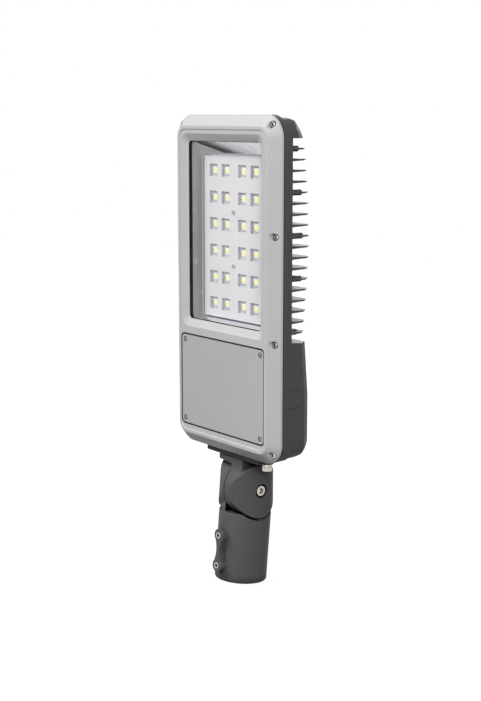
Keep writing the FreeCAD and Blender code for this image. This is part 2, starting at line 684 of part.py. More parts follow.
def led_lead():
    """Inner lead from the board's connector, through the grommet, to the driver."""
    start_z = CONNECTOR_Z - 3.5
    driver_top = DRIVER_CENTRE_Z + DRIVER_SIZE[2] / 2
    driver_depth = driver_centre_depth()
    bend = 8.0
    drop = driver_depth - LEAD_DEPTH
    mid_z = COMPARTMENT_TOP - 1.2 - bend - 1.0
    points = [
        Vector(LEAD_X, LEAD_DEPTH, start_z),
        Vector(LEAD_X, LEAD_DEPTH, mid_z + bend),
    ]
    knee = math.sqrt(0.5) * bend
    first = Part.Arc(points[1], Vector(LEAD_X, LEAD_DEPTH + bend - knee, mid_z + bend - knee),
                     Vector(LEAD_X, LEAD_DEPTH + bend, mid_z))
    across_end = Vector(LEAD_X, LEAD_DEPTH + drop - bend, mid_z)
    second = Part.Arc(across_end, Vector(LEAD_X, LEAD_DEPTH + drop - bend + knee, mid_z - bend + knee),
                      Vector(LEAD_X, LEAD_DEPTH + drop, mid_z - bend))
    end = Vector(LEAD_X, driver_depth, driver_top)
    edges = [
        Part.LineSegment(points[0], points[1]).toShape(),
        first.toShape(),
        Part.LineSegment(Vector(LEAD_X, LEAD_DEPTH + bend, mid_z), across_end).toShape(),
        second.toShape(),
        Part.LineSegment(Vector(LEAD_X, LEAD_DEPTH + drop, mid_z - bend), end).toShape(),
    ]
    path = Part.Wire(edges)
    ring = Part.Wire(Part.makeCircle(LEAD_R, points[0], Vector(0, 0, -1)))
    return path.makePipeShell([ring], True, False)


def driver_centre_depth():
    """Depth of the driver's middle, with its back on the compartment's floor."""
    return BOX_TOP_DEPTH - BOX_WALL - DRIVER_SIZE[1] / 2


def led_driver():
    """Potted LED driver with a fixing ear at each end."""
    width, thick, tall = DRIVER_SIZE
    back = BOX_TOP_DEPTH - BOX_WALL
    body = slab(-width / 2, width / 2, DRIVER_CENTRE_Z - tall / 2, DRIVER_CENTRE_Z + tall / 2, 3.0,
                back - thick, back)
    ears = slab(-width / 2 - DRIVER_EAR, width / 2 + DRIVER_EAR, DRIVER_CENTRE_Z - 9.0, DRIVER_CENTRE_Z + 9.0, 3.0,
                back - DRIVER_EAR_THICKNESS, back)
    holes = [rod(DRIVER_SCREW_R + 0.3, Vector(x, back - 5, DRIVER_CENTRE_Z), Vector(x, back + 5, DRIVER_CENTRE_Z))
             for x in driver_screw_xs()]
    return joined([body, ears]).cut(holes)


def driver_screw_xs():
    """Places of the driver's two fixing screws."""
    reach = DRIVER_SIZE[0] / 2 + DRIVER_EAR / 2
    return (-reach, reach)


def driver_screws():
    """Two pan-head screws through the driver's ears."""
    back = BOX_TOP_DEPTH - BOX_WALL
    seat = back - DRIVER_EAR_THICKNESS
    screws = []
    for x in driver_screw_xs():
        head = rod(DRIVER_SCREW_HEAD_R, Vector(x, seat, DRIVER_CENTRE_Z),
                   Vector(x, seat - DRIVER_SCREW_HEAD, DRIVER_CENTRE_Z))
        shank = rod(DRIVER_SCREW_R, Vector(x, seat, DRIVER_CENTRE_Z),
                    Vector(x, back + DRIVER_SCREW_DEPTH, DRIVER_CENTRE_Z))
        screws.append(head.fuse(shank))
    return group(screws)


def surge_protector():
    """Surge protector block beside the terminals."""
    width, thick, tall = SURGE_SIZE
    back = BOX_TOP_DEPTH - BOX_WALL
    x0, z0 = SURGE_LEFT_X, SURGE_BOTTOM_Z
    return slab(x0, x0 + width, z0, z0 + tall, 2.0, back - thick, back)


def terminal_block():
    """Three-pole terminal block with its wire holes and screw pits."""
    width, thick, tall = TERMINAL_SIZE
    back = BOX_TOP_DEPTH - BOX_WALL
    x0, z0 = TERMINAL_LEFT_X, TERMINAL_BOTTOM_Z
    block = box(x0, x0 + width, back - thick, back, z0, z0 + tall)
    screw_z = z0 + TERMINAL_SCREW_Z
    cuts = []
    for index in range(3):
        x = x0 + width * (index + 0.5) / 3
        middle = back - thick / 2
        cuts.append(rod(2.6, Vector(x, middle, z0 - 1), Vector(x, middle, z0 + TERMINAL_WIRE_DEPTH)))
        cuts.append(rod(2.2, Vector(x, back - thick - 1, screw_z), Vector(x, back - thick + 5, screw_z)))
    return block.cut(cuts)


def cable_gland():
    """Gland in the bottom wall, above the bracket's cable hole."""
    y = PIVOT_DEPTH + CABLE_HOLE_Y
    x = CABLE_HOLE_X
    nut = hexagon(GLAND_R * GLAND_NUT_SIZE, Vector(x, y, COMPARTMENT_BOTTOM), Vector(0, 0, 6.0))
    dome = Part.makeCone(GLAND_R, GLAND_R * 0.75, 8.0, Vector(x, y, COMPARTMENT_BOTTOM + 6.0), Vector(0, 0, 1))
    neck = rod(GLAND_R - 1.0, Vector(x, y, PAD_BOTTOM + 1.0), Vector(x, y, COMPARTMENT_BOTTOM))
    hole = rod(CABLE_HOLE_R - 1.0, Vector(x, y, PAD_BOTTOM), Vector(x, y, COMPARTMENT_BOTTOM + 20.0))
    return joined([nut, dome, neck]).cut(hole)


def earth_screw():
    """Earthing screw on the compartment's floor."""
    back = BOX_TOP_DEPTH - BOX_WALL
    head = hexagon(8.0, Vector(EARTH_X, back - 4.5, EARTH_Z), Vector(0, 3.5, 0))
    washer = rod(6.0, Vector(EARTH_X, back - 1.0, EARTH_Z), Vector(EARTH_X, back, EARTH_Z))
    shank = rod(2.4, Vector(EARTH_X, back - 1.5, EARTH_Z), Vector(EARTH_X, back + 2.5, EARTH_Z))
    return joined([head, washer, shank])


VENT_X = -(PAD_HALF_WIDTH + VENT_PAD_GAP + VENT_CAP_R)


def breather_vent():
    """Screwed pressure vent in the box's bottom wall."""
    y = VENT_DEPTH
    cap = rod(VENT_CAP_R, Vector(VENT_X, y, BODY_BOTTOM - 3.5), Vector(VENT_X, y, BODY_BOTTOM))
    stem = rod(VENT_STEM_R, Vector(VENT_X, y, BODY_BOTTOM), Vector(VENT_X, y, COMPARTMENT_BOTTOM + 1.0))
    return joined([cap, stem])


def housing_fins():
    """Cross fins with draft, cut back at 45 degrees at both ends, under an arched envelope."""
    fins = []
    for index in range(FIN_COUNT):
        z = FIN_TOP_Z - FIN_PITCH * index
        depth = arch_depth(z)
        start = PLATE_BACK - 1.0
        profile = [
            (start, z - FIN_ROOT / 2),
            (depth, z - FIN_TIP / 2),
            (depth, z + FIN_TIP / 2),
            (start, z + FIN_ROOT / 2),
        ]
        fin = prism_x(profile, -BODY_HALF, BODY_HALF)
        plan = prism_z(chamfered_plan(depth, start, FIN_CHAMFER), z - FIN_ROOT, z + FIN_ROOT)
        fins.append(fin.common(plan))
    return fins


def housing_posts():
    """Ejector posts on every fourth fin and on the last."""
    posts = []
    chosen = [index for index in range(FIN_COUNT) if index % POST_EVERY == 0]
    chosen[-1] = FIN_COUNT - 1 if FIN_COUNT - 1 - chosen[-1] < 2 else chosen[-1]
    for index in chosen:
        z = FIN_TOP_Z - FIN_PITCH * index
        end = arch_depth(z) - POST_END_INSET
        for x in POST_XS:
            body = rod(POST_R, Vector(x, PLATE_BACK - 1.0, z), Vector(x, end - 1.0, z))
            tip = Part.makeCone(POST_R, POST_R - 1.0, 1.0, Vector(x, end - 1.0, z), Vector(0, 1, 0))
            posts += [body, tip]
    return posts


def quarter_ellipse(centre_y, centre_z, run, rise, x):
    """Quarter of an ellipse at one x, from straight behind its centre round to straight above it.

    A negative rise turns it downwards.
    """
    middle = math.sqrt(0.5)
    early = math.radians(22.5)
    turns = [0.0, early, 2 * early, 3 * early, 4 * early]
    points = [Vector(x, centre_y + run * math.cos(t), centre_z + rise * math.sin(t)) for t in turns]
    curve = Part.BSplineCurve()
    curve.interpolate(points, InitialTangent=Vector(0, 0, rise), FinalTangent=Vector(0, -run, 0))
    return curve.toShape()


def wedge_sided(face, across, along):
    """A side profile at the right-hand edge of the flat back, run across it and out to both sides.

    Towards each side the profile slides forward, which leaves the slanted back corners.
    """
    inner = BODY_HALF - across
    middle = face.extrude(Vector(-2 * inner, 0, 0))
    right = face.extrude(Vector(across, -along, 0))
    left = right.mirror(Vector(0, 0, 0), Vector(1, 0, 0))
    return joined([middle, right, left])


def within_body(solid, z0, z1):
    """Trim a shape to the body's outline, behind the flange's face."""
    outside = head_outline(BODY_INSET, 0.0)
    trim = slab(outside[0], outside[1], outside[2], outside[3], outside[4], BODY_START - 1.0, 120.0)
    return solid.common(trim).common(box(-HEAD_WIDTH, HEAD_WIDTH, 0.0, HEAD_WIDTH, z0, z1))


def face_of(points, curve, x):
    """A side profile face at one x, closed by a curve that joins the last point to the first."""
    corners = [Vector(x, y, z) for y, z in points]
    edges = [Part.LineSegment(p, q).toShape() for p, q in zip(corners, corners[1:])]
    return Part.Face(Part.Wire(Part.sortEdges(edges + [curve])[0]))


def shoulder_curve(flat_end, top, depth, low, fullness, x):
    """Curve from a flat top round to a square underside; more fullness fills its corner."""
    curve = Part.BezierCurve()
    curve.setPoles([Vector(x, flat_end, top), Vector(x, depth, top), Vector(x, depth, low)])
    curve.setWeight(2, fullness)
    return curve.toShape()


def housing_end_block():
    """Closed block above the top fin, rounded off towards the head's top edge."""
    across, along = BOX_CHAMFER
    x = BODY_HALF - across
    low = BLOCK_UNDERSIDE
    top = HEAD_LENGTH - BLOCK_TOP_INSET
    curve = shoulder_curve(BLOCK_SHOULDER_DEPTH, top, BLOCK_DEPTH, low, BLOCK_FULLNESS, x)
    points = [(BLOCK_SHOULDER_DEPTH, top), (-30.0, top), (-30.0, low), (BLOCK_DEPTH, low)]
    block = wedge_sided(face_of(points, curve, x), across, along)
    corners = slab(-BODY_HALF, BODY_HALF, BODY_BOTTOM, top, BLOCK_CORNER_R, BODY_START - 1.0, BLOCK_DEPTH + 1.0)
    return block.common(corners).common(box(-HEAD_WIDTH, HEAD_WIDTH, 0.0, BLOCK_DEPTH + 1.0, low, top))


def housing_box():
    """Deep box over the driver, rounded off towards the head's bottom edge."""
    across, along = BOX_CHAMFER
    x = BODY_HALF - across
    knee = BODY_BOTTOM + BOX_BOTTOM_RISE
    front_top = BOX_TOP + BOX_TOP_SLOPE
    curve = quarter_ellipse(BOX_DEPTH - BOX_BOTTOM_RUN, knee, BOX_BOTTOM_RUN, -BOX_BOTTOM_RISE, x)
    points = [
        (BOX_DEPTH - BOX_BOTTOM_RUN, BODY_BOTTOM),
        (-30.0, BODY_BOTTOM),
        (-30.0, front_top + BOX_TOP_SLOPE),
        (BOX_TOP_DEPTH, BOX_TOP - BOX_TOP_SLOPE / 3),
        (BOX_DEPTH, BOX_FULL_DEPTH_Z),
        (BOX_DEPTH, knee),
    ]
    return within_body(wedge_sided(face_of(points, curve, x), across, along), BODY_BOTTOM, front_top)


def rear_housing():
    """Dark grey casting: flange, plate, fins, end block, driver box, lugs and neck pad."""
    flange = head_slab(0.0, HOUSING_FACE, BODY_START)
    body = slab(-BODY_HALF, BODY_HALF, BODY_BOTTOM, HEAD_LENGTH - BLOCK_TOP_INSET, BLOCK_CORNER_R,
                BODY_START - 0.5, PLATE_BACK)

    pad = slab(-PAD_HALF_WIDTH, PAD_HALF_WIDTH, PAD_BOTTOM, BODY_BOTTOM + 6.0, 2.5, PAD_FRONT_DEPTH, PAD_BACK_DEPTH)
    pad = pad.common(prism_x([
        (PAD_FRONT_DEPTH + PAD_BREAK, PAD_BOTTOM),
        (PAD_BACK_DEPTH - PAD_BREAK, PAD_BOTTOM),
        (PAD_BACK_DEPTH, PAD_BOTTOM + PAD_BREAK),
        (PAD_BACK_DEPTH, BODY_BOTTOM + 6.0),
        (PAD_FRONT_DEPTH, BODY_BOTTOM + 6.0),
        (PAD_FRONT_DEPTH, PAD_BOTTOM + PAD_BREAK),
    ], -HEAD_WIDTH, HEAD_WIDTH))

    lugs = []
    for side in (-1, 1):
        x_in = side * (BODY_HALF - 1.0)
        x_out = side * HEAD_WIDTH / 2
        lo, hi = min(x_in, x_out), max(x_in, x_out)
        lugs.append(box(lo, hi, BODY_START - 1.0, LUG_END_DEPTH - LUG_R, LUG_Z - LUG_R, LUG_Z + LUG_R))
        lugs.append(rod(LUG_R, Vector(lo, LUG_END_DEPTH - LUG_R, LUG_Z), Vector(hi, LUG_END_DEPTH - LUG_R, LUG_Z)))

    parts = [flange, body, housing_end_block(), housing_box(), pad]
    solid = joined(parts + lugs + housing_fins() + housing_posts())

    chamber = slab(-CHAMBER_HALF, CHAMBER_HALF, CHAMBER_BOTTOM, CHAMBER_TOP, 12.0, HOUSING_FACE - 1, CHAMBER_FLOOR)
    floor = BOX_TOP_DEPTH - BOX_WALL
    inner_half = CHAMBER_HALF - 6.0
    step = PIVOT_DEPTH + CABLE_HOLE_Y + GLAND_R * GLAND_NUT_SIZE / math.sqrt(3) + GLAND_ROOM
    compartment = slab(-inner_half, inner_half, COMPARTMENT_BOTTOM, COMPARTMENT_TOP, 10.0, HOUSING_FACE - 1, step)
    deep_half = BODY_HALF - BOX_CHAMFER[0] - 6.0
    deep = slab(-deep_half, deep_half, COMPARTMENT_BOTTOM + 14.0, COMPARTMENT_TOP, 6.0, step - 1.0, floor)
    block_void = prism_x(
        [(PLATE_BACK + 1.0, BLOCK_UNDERSIDE - 1), (BLOCK_DEPTH - 5.0, BLOCK_UNDERSIDE - 1),
         (BLOCK_DEPTH - 9.0, BLOCK_UNDERSIDE + 8.0), (PLATE_BACK + 4.0, BODY_TOP - 11.0),
         (PLATE_BACK + 1.0, BODY_TOP - 11.0)],
        -BODY_HALF + BOX_CHAMFER[0] + 12.0, BODY_HALF - BOX_CHAMFER[0] - 12.0)
    solid = solid.cut([chamber, compartment, deep, block_void])

    holes = [rod(FRAME_SCREW_R, Vector(x, 0, z), Vector(x, FRAME_BACK + 9.0, z)) for x, z in FRAME_SCREWS]
    holes += [rod(BOARD_SCREW_R, Vector(x, 0, z), Vector(x, PLATE_BACK - 1.5, z)) for x, z in BOARD_SCREWS]
    holes += [rod(1.5, Vector(0, 0, z), Vector(0, PLATE_BACK - 1.5, z)) for z in plate_screw_heights()]
    holes += [rod(DRIVER_SCREW_R, Vector(x, floor - 1, DRIVER_CENTRE_Z),
                  Vector(x, floor + DRIVER_SCREW_DEPTH + 0.1, DRIVER_CENTRE_Z)) for x in driver_screw_xs()]
    holes.append(rod(2.4, Vector(EARTH_X, floor - 1, EARTH_Z), Vector(EARTH_X, floor + 2.6, EARTH_Z)))
    holes.append(rod(4.0, Vector(LEAD_X, LEAD_DEPTH, COMPARTMENT_TOP - 1), Vector(LEAD_X, LEAD_DEPTH, CHAMBER_BOTTOM + 1)))
    gland_y = PIVOT_DEPTH + CABLE_HOLE_Y
    holes.append(rod(GLAND_R - 1.0, Vector(CABLE_HOLE_X, gland_y, PAD_BOTTOM - 1),
                     Vector(CABLE_HOLE_X, gland_y, COMPARTMENT_BOTTOM + 15.0)))
    holes.append(rod(VENT_STEM_R, Vector(VENT_X, VENT_DEPTH, 0), Vector(VENT_X, VENT_DEPTH, COMPARTMENT_BOTTOM + 1)))
    for side in (-1, 1):
        x = side * BRACKET_BOLT_X
        y = PIVOT_DEPTH + BRACKET_BOLT_Y
        holes.append(rod(BRACKET_BOLT_R, Vector(x, y, PAD_BOTTOM - 1), Vector(x, y, 9.0)))
    return solid.cut(holes).removeSplitter()


def tooth_ring(root_x, direction):
    """Ring of radial teeth about the pivot axis. Crests point along direction from root_x.

    Crest and root lines all meet on the axis, so each flank is flat.
    """
    inner = TOOTH_INNER_R
    outer = DISC_R - 0.6
    base = root_x - direction * 1.0
    faces = []
    half = math.pi / TOOTH_COUNT

    def at(radius, angle, height):
        x = root_x + direction * height * radius / outer
        return Vector(x, radius * math.cos(angle), radius * math.sin(angle))

    def low(radius, angle):
        return Vector(base, radius * math.cos(angle), radius * math.sin(angle))

    count = 2 * TOOTH_COUNT
    for index in range(count):
        a = index * half
        b = (index + 1) % count * half
        ha = TOOTH_HEIGHT if index % 2 else 0.0
        hb = TOOTH_HEIGHT if (index + 1) % 2 else 0.0
        quads = [
            [at(inner, a, ha), at(outer, a, ha), at(outer, b, hb), at(inner, b, hb)],
            [at(outer, a, ha), low(outer, a), low(outer, b), at(outer, b, hb)],
            [low(inner, a), at(inner, a, ha), at(inner, b, hb), low(inner, b)],
        ]
        for quad in quads:
            faces.append(Part.Face(Part.makePolygon(quad + quad[:1])))
    outer_loop = Part.makePolygon([low(outer, index % count * half) for index in range(count + 1)])
    inner_loop = Part.makePolygon([low(inner, index % count * half) for index in range(count + 1)])
    cap = Part.Face(outer_loop).cut(Part.Face(inner_loop))
    faces += cap.Faces
    shell = Part.makeShell(faces)
    solid = Part.makeSolid(shell)
    if solid.Volume < 0:
        solid.reverse()
    return solid


def column(reach, z0, z1):
    """Upright elliptical column of the knuckle, pivot at the origin."""
    long_r = max(reach, KNUCKLE_DEPTH_R)
    short_r = min(reach, KNUCKLE_DEPTH_R)
    ellipse = Part.Ellipse(Vector(0, 0, z0), long_r, short_r).toShape()
    if reach < KNUCKLE_DEPTH_R:
        ellipse.rotate(Vector(0, 0, z0), Vector(0, 0, 1), 90)
    return Part.Face(Part.Wire(ellipse)).extrude(Vector(0, 0, z1 - z0))


def knuckle_half(x0, x1, reach):
    """Disc about the pivot axis trimmed to the knuckle's column, pivot at the origin."""
    disc = rod(DISC_R, Vector(x0, 0, 0), Vector(x1, 0, 0))
    return disc.common(column(reach, -DISC_R - 5, DISC_R + 5))


def neck_fillet(x0, x1):
    """Hollow fillet that eases the neck's flat front into the disc's rim."""
    touch = math.acos(NECK_FRONT / DISC_R)
    length = NECK_FILLET_R * math.tan((math.pi / 2 - touch) / 2)
    corner = (-NECK_FRONT, DISC_R * math.sin(touch))
    above = (-NECK_FRONT, corner[1] + length)
    spread = touch - length / DISC_R
    below = (-DISC_R * math.cos(spread), DISC_R * math.sin(spread))
    centre = (-NECK_FRONT - NECK_FILLET_R, above[1])
    half = (math.pi / 2 - touch) / 2
    middle = (centre[0] + NECK_FILLET_R * math.cos(half), centre[1] - NECK_FILLET_R * math.sin(half))
    inside = (-NECK_FRONT + 4.0, corner[1] - 4.0)
    return prism_x([(above, middle, below), inside], x0, x1)


def head_bracket():
    """Dark casting: flange under the housing, neck and toothed cheek, drawn about the pivot."""
    tooth_root = SEAM_X + TOOTH_CLEARANCE / 2 + TOOTH_HEIGHT
    cheek = knuckle_half(tooth_root, CHEEK_REACH, CHEEK_REACH)
    z0 = FLANGE_BOTTOM - PIVOT_Z
    z1 = PAD_BOTTOM - PIVOT_Z
    reach = FLANGE_HALF_LENGTH - FLANGE_HALF_WIDTH
    y0 = BRACKET_BOLT_Y - FLANGE_HALF_WIDTH
    y1 = BRACKET_BOLT_Y + FLANGE_HALF_WIDTH
    flange = box(-reach, reach, y0, y1, z0, z1)
    ends = [rod(FLANGE_HALF_WIDTH, Vector(side * reach, BRACKET_BOLT_Y, z0), Vector(side * reach, BRACKET_BOLT_Y, z1))
            for side in (-1, 1)]
    neck = box(tooth_root, NECK_RIGHT_X, -NECK_FRONT, NECK_FRONT, 0.0, z1)

    rib_face = Part.makePolygon([
        Vector(RIB_LEFT_X, -NECK_FRONT, z1),
        Vector(RIB_LEFT_X, -NECK_FRONT, z1 - RIB_LEFT_DROP),
        Vector(tooth_root + 1.0, -NECK_FRONT, z1 - RIB_NECK_DROP),
        Vector(tooth_root + 1.0, -NECK_FRONT, z1),
        Vector(RIB_LEFT_X, -NECK_FRONT, z1),
    ])
    rib = Part.Face(rib_face).extrude(Vector(0, 2 * NECK_FRONT, 0))
    rib = rib.cut(rod(DISC_R + FLANGE_CLEARANCE, Vector(-80, 0, 0), Vector(tooth_root, 0, 0)))
    body = joined([cheek, flange, neck, neck_fillet(tooth_root, NECK_RIGHT_X), rib] + ends)
    body = body.fuse(tooth_ring(tooth_root, -1))
    cuts = [
        rod(PIVOT_BOLT_R + PIVOT_CLEARANCE, Vector(SEAM_X - 5, 0, 0), Vector(CHEEK_REACH + 1, 0, 0)),
        rod(PIVOT_COUNTERBORE_R, Vector(PIVOT_HEAD_X - PIVOT_HEAD_HEIGHT - PIVOT_WASHER, 0, 0),
            Vector(CHEEK_REACH + 1, 0, 0)),
        rod(CABLE_HOLE_R, Vector(CABLE_HOLE_X, CABLE_HOLE_Y, -DISC_R), Vector(CABLE_HOLE_X, CABLE_HOLE_Y, z1 + 1)),
    ]
    for side in (-1, 1):
        x = side * BRACKET_BOLT_X
        cuts.append(rod(BRACKET_BOLT_R + 0.4, Vector(x, BRACKET_BOLT_Y, z0 - 1), Vector(x, BRACKET_BOLT_Y, z1 + 1)))
        ends = sorted((side * FLANGE_STEP_X, side * (FLANGE_HALF_LENGTH + 1)))
        cuts.append(box(ends[0], ends[1], y0 - 1, y1 + 1, z0 - 1, z0 + FLANGE_STEP))
    return body.cut(cuts).removeSplitter()


def bracket_bolts():
    """Two hex bolts up through the flange, drawn about the pivot."""
    top = BOLT_SEAT - PIVOT_Z - FLAT_WASHER_THICKNESS - SPRING_WASHER_THICKNESS
    bolts = []
    for side in (-1, 1):
        at = Vector(side * BRACKET_BOLT_X, BRACKET_BOLT_Y, top)
        head = hexagon(BRACKET_BOLT_AF, at, Vector(0, 0, -BRACKET_BOLT_HEAD), BRACKET_BOLT_TURN)
        cone = Part.makeCone(BRACKET_BOLT_AF * 0.72, BRACKET_BOLT_AF * 0.5, BRACKET_BOLT_HEAD, at, Vector(0, 0, -1))
        shank = rod(BRACKET_BOLT_R, at, Vector(at.x, at.y, 9.0 - PIVOT_Z))
        bolts.append(head.common(cone).fuse(shank))
    return group(bolts)


def bracket_washers():
    """Flat washers under the flange, drawn about the pivot."""
    z1 = BOLT_SEAT - PIVOT_Z
    washers = []
    for side in (-1, 1):
        low = Vector(side * BRACKET_BOLT_X, BRACKET_BOLT_Y, z1 - FLAT_WASHER_THICKNESS)
        high = Vector(low.x, low.y, z1)
        washers.append(rod(FLAT_WASHER_R, low, high).cut(rod(BRACKET_BOLT_R + 0.3, low, high)))
    return group(washers)


def spring_washers():
    """Split spring washers between the flat washers and the bolts' heads, drawn about the pivot."""
    z1 = BOLT_SEAT - PIVOT_Z - FLAT_WASHER_THICKNESS
    washers = []
    for side in (-1, 1):
        low = Vector(side * BRACKET_BOLT_X, BRACKET_BOLT_Y, z1 - SPRING_WASHER_THICKNESS)
        high = Vector(low.x, low.y, z1)
        split = box(low.x - 0.5, low.x + 0.5, low.y - 9.0, low.y, low.z - 1, high.z + 1)
        washers.append(rod(SPRING_WASHER_R, low, high).cut([rod(BRACKET_BOLT_R + 0.2, low, high), split]))
    return group(washers)


def dog_bone():
    """Raised pad of the set screws on the socket's front, two bosses joined by a waist."""
    front = -SOCKET_R - PAD_PROUD
    low, high = SET_SCREW_HEIGHTS
    bosses = [rod(SET_BOSS_R, Vector(0, front, z), Vector(0, -BORE_R - 2.0, z)) for z in (low, high)]
    middle = (low + high) / 2
    span = (high - low) / 2
    arc_r = (span ** 2 + SET_WAIST ** 2 - SET_BOSS_R ** 2) / (2 * (SET_BOSS_R - SET_WAIST))
    core = box(-SET_BOSS_R, SET_BOSS_R, front, -BORE_R - 2.0, low, high)
    trims = [rod(arc_r, Vector(side * (arc_r + SET_WAIST), front - 1, middle),
                 Vector(side * (arc_r + SET_WAIST), 0, middle)) for side in (-1, 1)]
    return joined(bosses + [core.cut(trims)])


def socket_tube(rim_z):
    """Solid round of the socket, turned from its half section: broken mouth and rounded rim."""
    half = math.sqrt(0.5)
    inner = SOCKET_R - RIM_ROUND
    low = rim_z - RIM_ROUND
    middle = Vector(inner + half * RIM_ROUND, 0, low + half * RIM_ROUND)
    run = [Vector(inner, 0, rim_z), Vector(0, 0, rim_z), Vector(0, 0, 0),
           Vector(SOCKET_R - MOUTH_BREAK * 0.7, 0, 0), Vector(SOCKET_R, 0, MOUTH_BREAK), Vector(SOCKET_R, 0, low)]
    edges = [Part.LineSegment(a, b).toShape() for a, b in zip(run, run[1:])]
    edges.append(Part.Arc(run[-1], middle, run[0]).toShape())
    return Part.Face(Part.Wire(edges)).revolve(Vector(0, 0, 0), Vector(0, 0, 1), 360)


def pole_adapter():
    """Dark casting: pole socket with its screw pad, saddle and toothed ear."""
    rim_z = PIVOT_HEIGHT - RIM_BELOW_PIVOT
    body = joined([socket_tube(rim_z), dog_bone()])

    ear_face = SEAM_X - TOOTH_CLEARANCE / 2 - TOOTH_HEIGHT
    pivot = Vector(0, 0, PIVOT_HEIGHT)
    ear = knuckle_half(-EAR_REACH, ear_face, EAR_REACH)
    ear.translate(pivot)
    web = rod(SOCKET_R - WEB_INSET, Vector(0, 0, rim_z - 12.0), Vector(0, 0, PIVOT_HEIGHT - WEB_TOP_BELOW_PIVOT))
    web = web.common(box(-EAR_REACH, ear_face, -SOCKET_R, SOCKET_R, 0, PIVOT_HEIGHT))
    body = body.fuse([ear, web])

    saddle_r = DISC_R + SADDLE_CLEARANCE
    saddle = rod(saddle_r, pivot + Vector(ear_face, 0, 0), pivot + Vector(SOCKET_R + 1, 0, 0))
    teeth = tooth_ring(ear_face, 1)
    teeth.translate(pivot)
    body = body.cut(saddle).fuse(teeth)

    ceiling = PIVOT_HEIGHT - saddle_r - SADDLE_FLOOR
    cuts = [
        rod(BORE_R, Vector(0, 0, -1), Vector(0, 0, BORE_DEPTH)),
        rod(SOCKET_CABLE_HOLE_R, Vector(0, 0, BORE_DEPTH - 1), Vector(0, 0, ceiling + SADDLE_FLOOR + 12.0)),
        rod(PIVOT_BOLT_R + 0.3, pivot + Vector(-EAR_REACH - 1, 0, 0), pivot + Vector(SEAM_X + 1, 0, 0)),
        hexagon(PIVOT_NUT_AF + 0.3, pivot + Vector(NUT_POCKET_FLOOR_X, 0, 0), Vector(-EAR_REACH, 0, 0)),
    ]
    for z in SET_SCREW_HEIGHTS:
        cuts.append(rod(SET_SCREW_R, Vector(0, -SOCKET_R - PAD_PROUD - 1, z), Vector(0, 0, z)))
    return body.cut(cuts).removeSplitter()


def set_screws():
    """Hex-socket set screws, backed off flush with the bore."""
    screws = []
    front = -SOCKET_R - PAD_PROUD - 0.8
    for z in SET_SCREW_HEIGHTS:
        body = rod(SET_SCREW_R, Vector(0, front, z), Vector(0, -BORE_R - 0.6, z))
        recess = hexagon(5.0, Vector(0, front, z), Vector(0, 5.0, 0))
        screws.append(body.cut(recess))
    return group(screws)


def pivot_bolt():
    """Socket-head cap screw through the knuckle."""
    pivot = Vector(0, 0, PIVOT_HEIGHT)
    seat = PIVOT_HEAD_X - PIVOT_HEAD_HEIGHT
    head = rod(PIVOT_HEAD_R, pivot + Vector(seat, 0, 0), pivot + Vector(PIVOT_HEAD_X - 0.8, 0, 0))
    rim = Part.makeCone(PIVOT_HEAD_R, PIVOT_HEAD_R - 0.8, 0.8, pivot + Vector(PIVOT_HEAD_X - 0.8, 0, 0), Vector(1, 0, 0))
    shank = rod(PIVOT_BOLT_R, pivot + Vector(NUT_POCKET_FLOOR_X - PIVOT_NUT_HEIGHT - 1.5, 0, 0), pivot + Vector(seat, 0, 0))
    socket = hexagon(8.0, pivot + Vector(PIVOT_HEAD_X, 0, 0), Vector(-5.5, 0, 0), 15.0)
    return joined([head, rim, shank]).cut(socket)


def pivot_washer():
    """Plain washer in the cheek's counterbore."""
    pivot = Vector(0, 0, PIVOT_HEIGHT)
    seat = PIVOT_HEAD_X - PIVOT_HEAD_HEIGHT
    ring = rod(PIVOT_COUNTERBORE_R - 0.4, pivot + Vector(seat - PIVOT_WASHER + 0.1, 0, 0), pivot + Vector(seat, 0, 0))
    return ring.cut(rod(PIVOT_BOLT_R + 0.1, pivot, pivot + Vector(seat + 1, 0, 0)))


def pivot_nut():
    """Hex nut held in the ear's pocket."""
    pivot = Vector(0, 0, PIVOT_HEIGHT)
    nut = hexagon(PIVOT_NUT_AF, pivot + Vector(NUT_POCKET_FLOOR_X, 0, 0), Vector(-PIVOT_NUT_HEIGHT, 0, 0))
    return nut.cut(rod(PIVOT_BOLT_R + 0.03, pivot + Vector(-EAR_REACH - 5, 0, 0), pivot))


def place_head(shape, about_pivot=False):
    """Carry a head piece to the leaned pivot."""
    shape = shape.copy()
    if not about_pivot:
        shape.translate(Vector(0, -PIVOT_DEPTH, PIVOT_BELOW_HEAD))
    shape.rotate(Vector(0, 0, 0), Vector(1, 0, 0), REST_TILT_DEG)
    shape.translate(Vector(0, 0, PIVOT_HEIGHT))
    return shape


POLE_SIDE = {
    "pole_adapter": pole_adapter,
    "set_screws": set_screws,
    "pivot_bolt": pivot_bolt,
    "pivot_washer": pivot_washer,
    "pivot_nut": pivot_nut,
}

BRACKET_SIDE = {
    "head_bracket": head_bracket,
    "bracket_bolts": bracket_bolts,
    "bracket_washers": bracket_washers,
    "spring_washers": spring_washers,
}

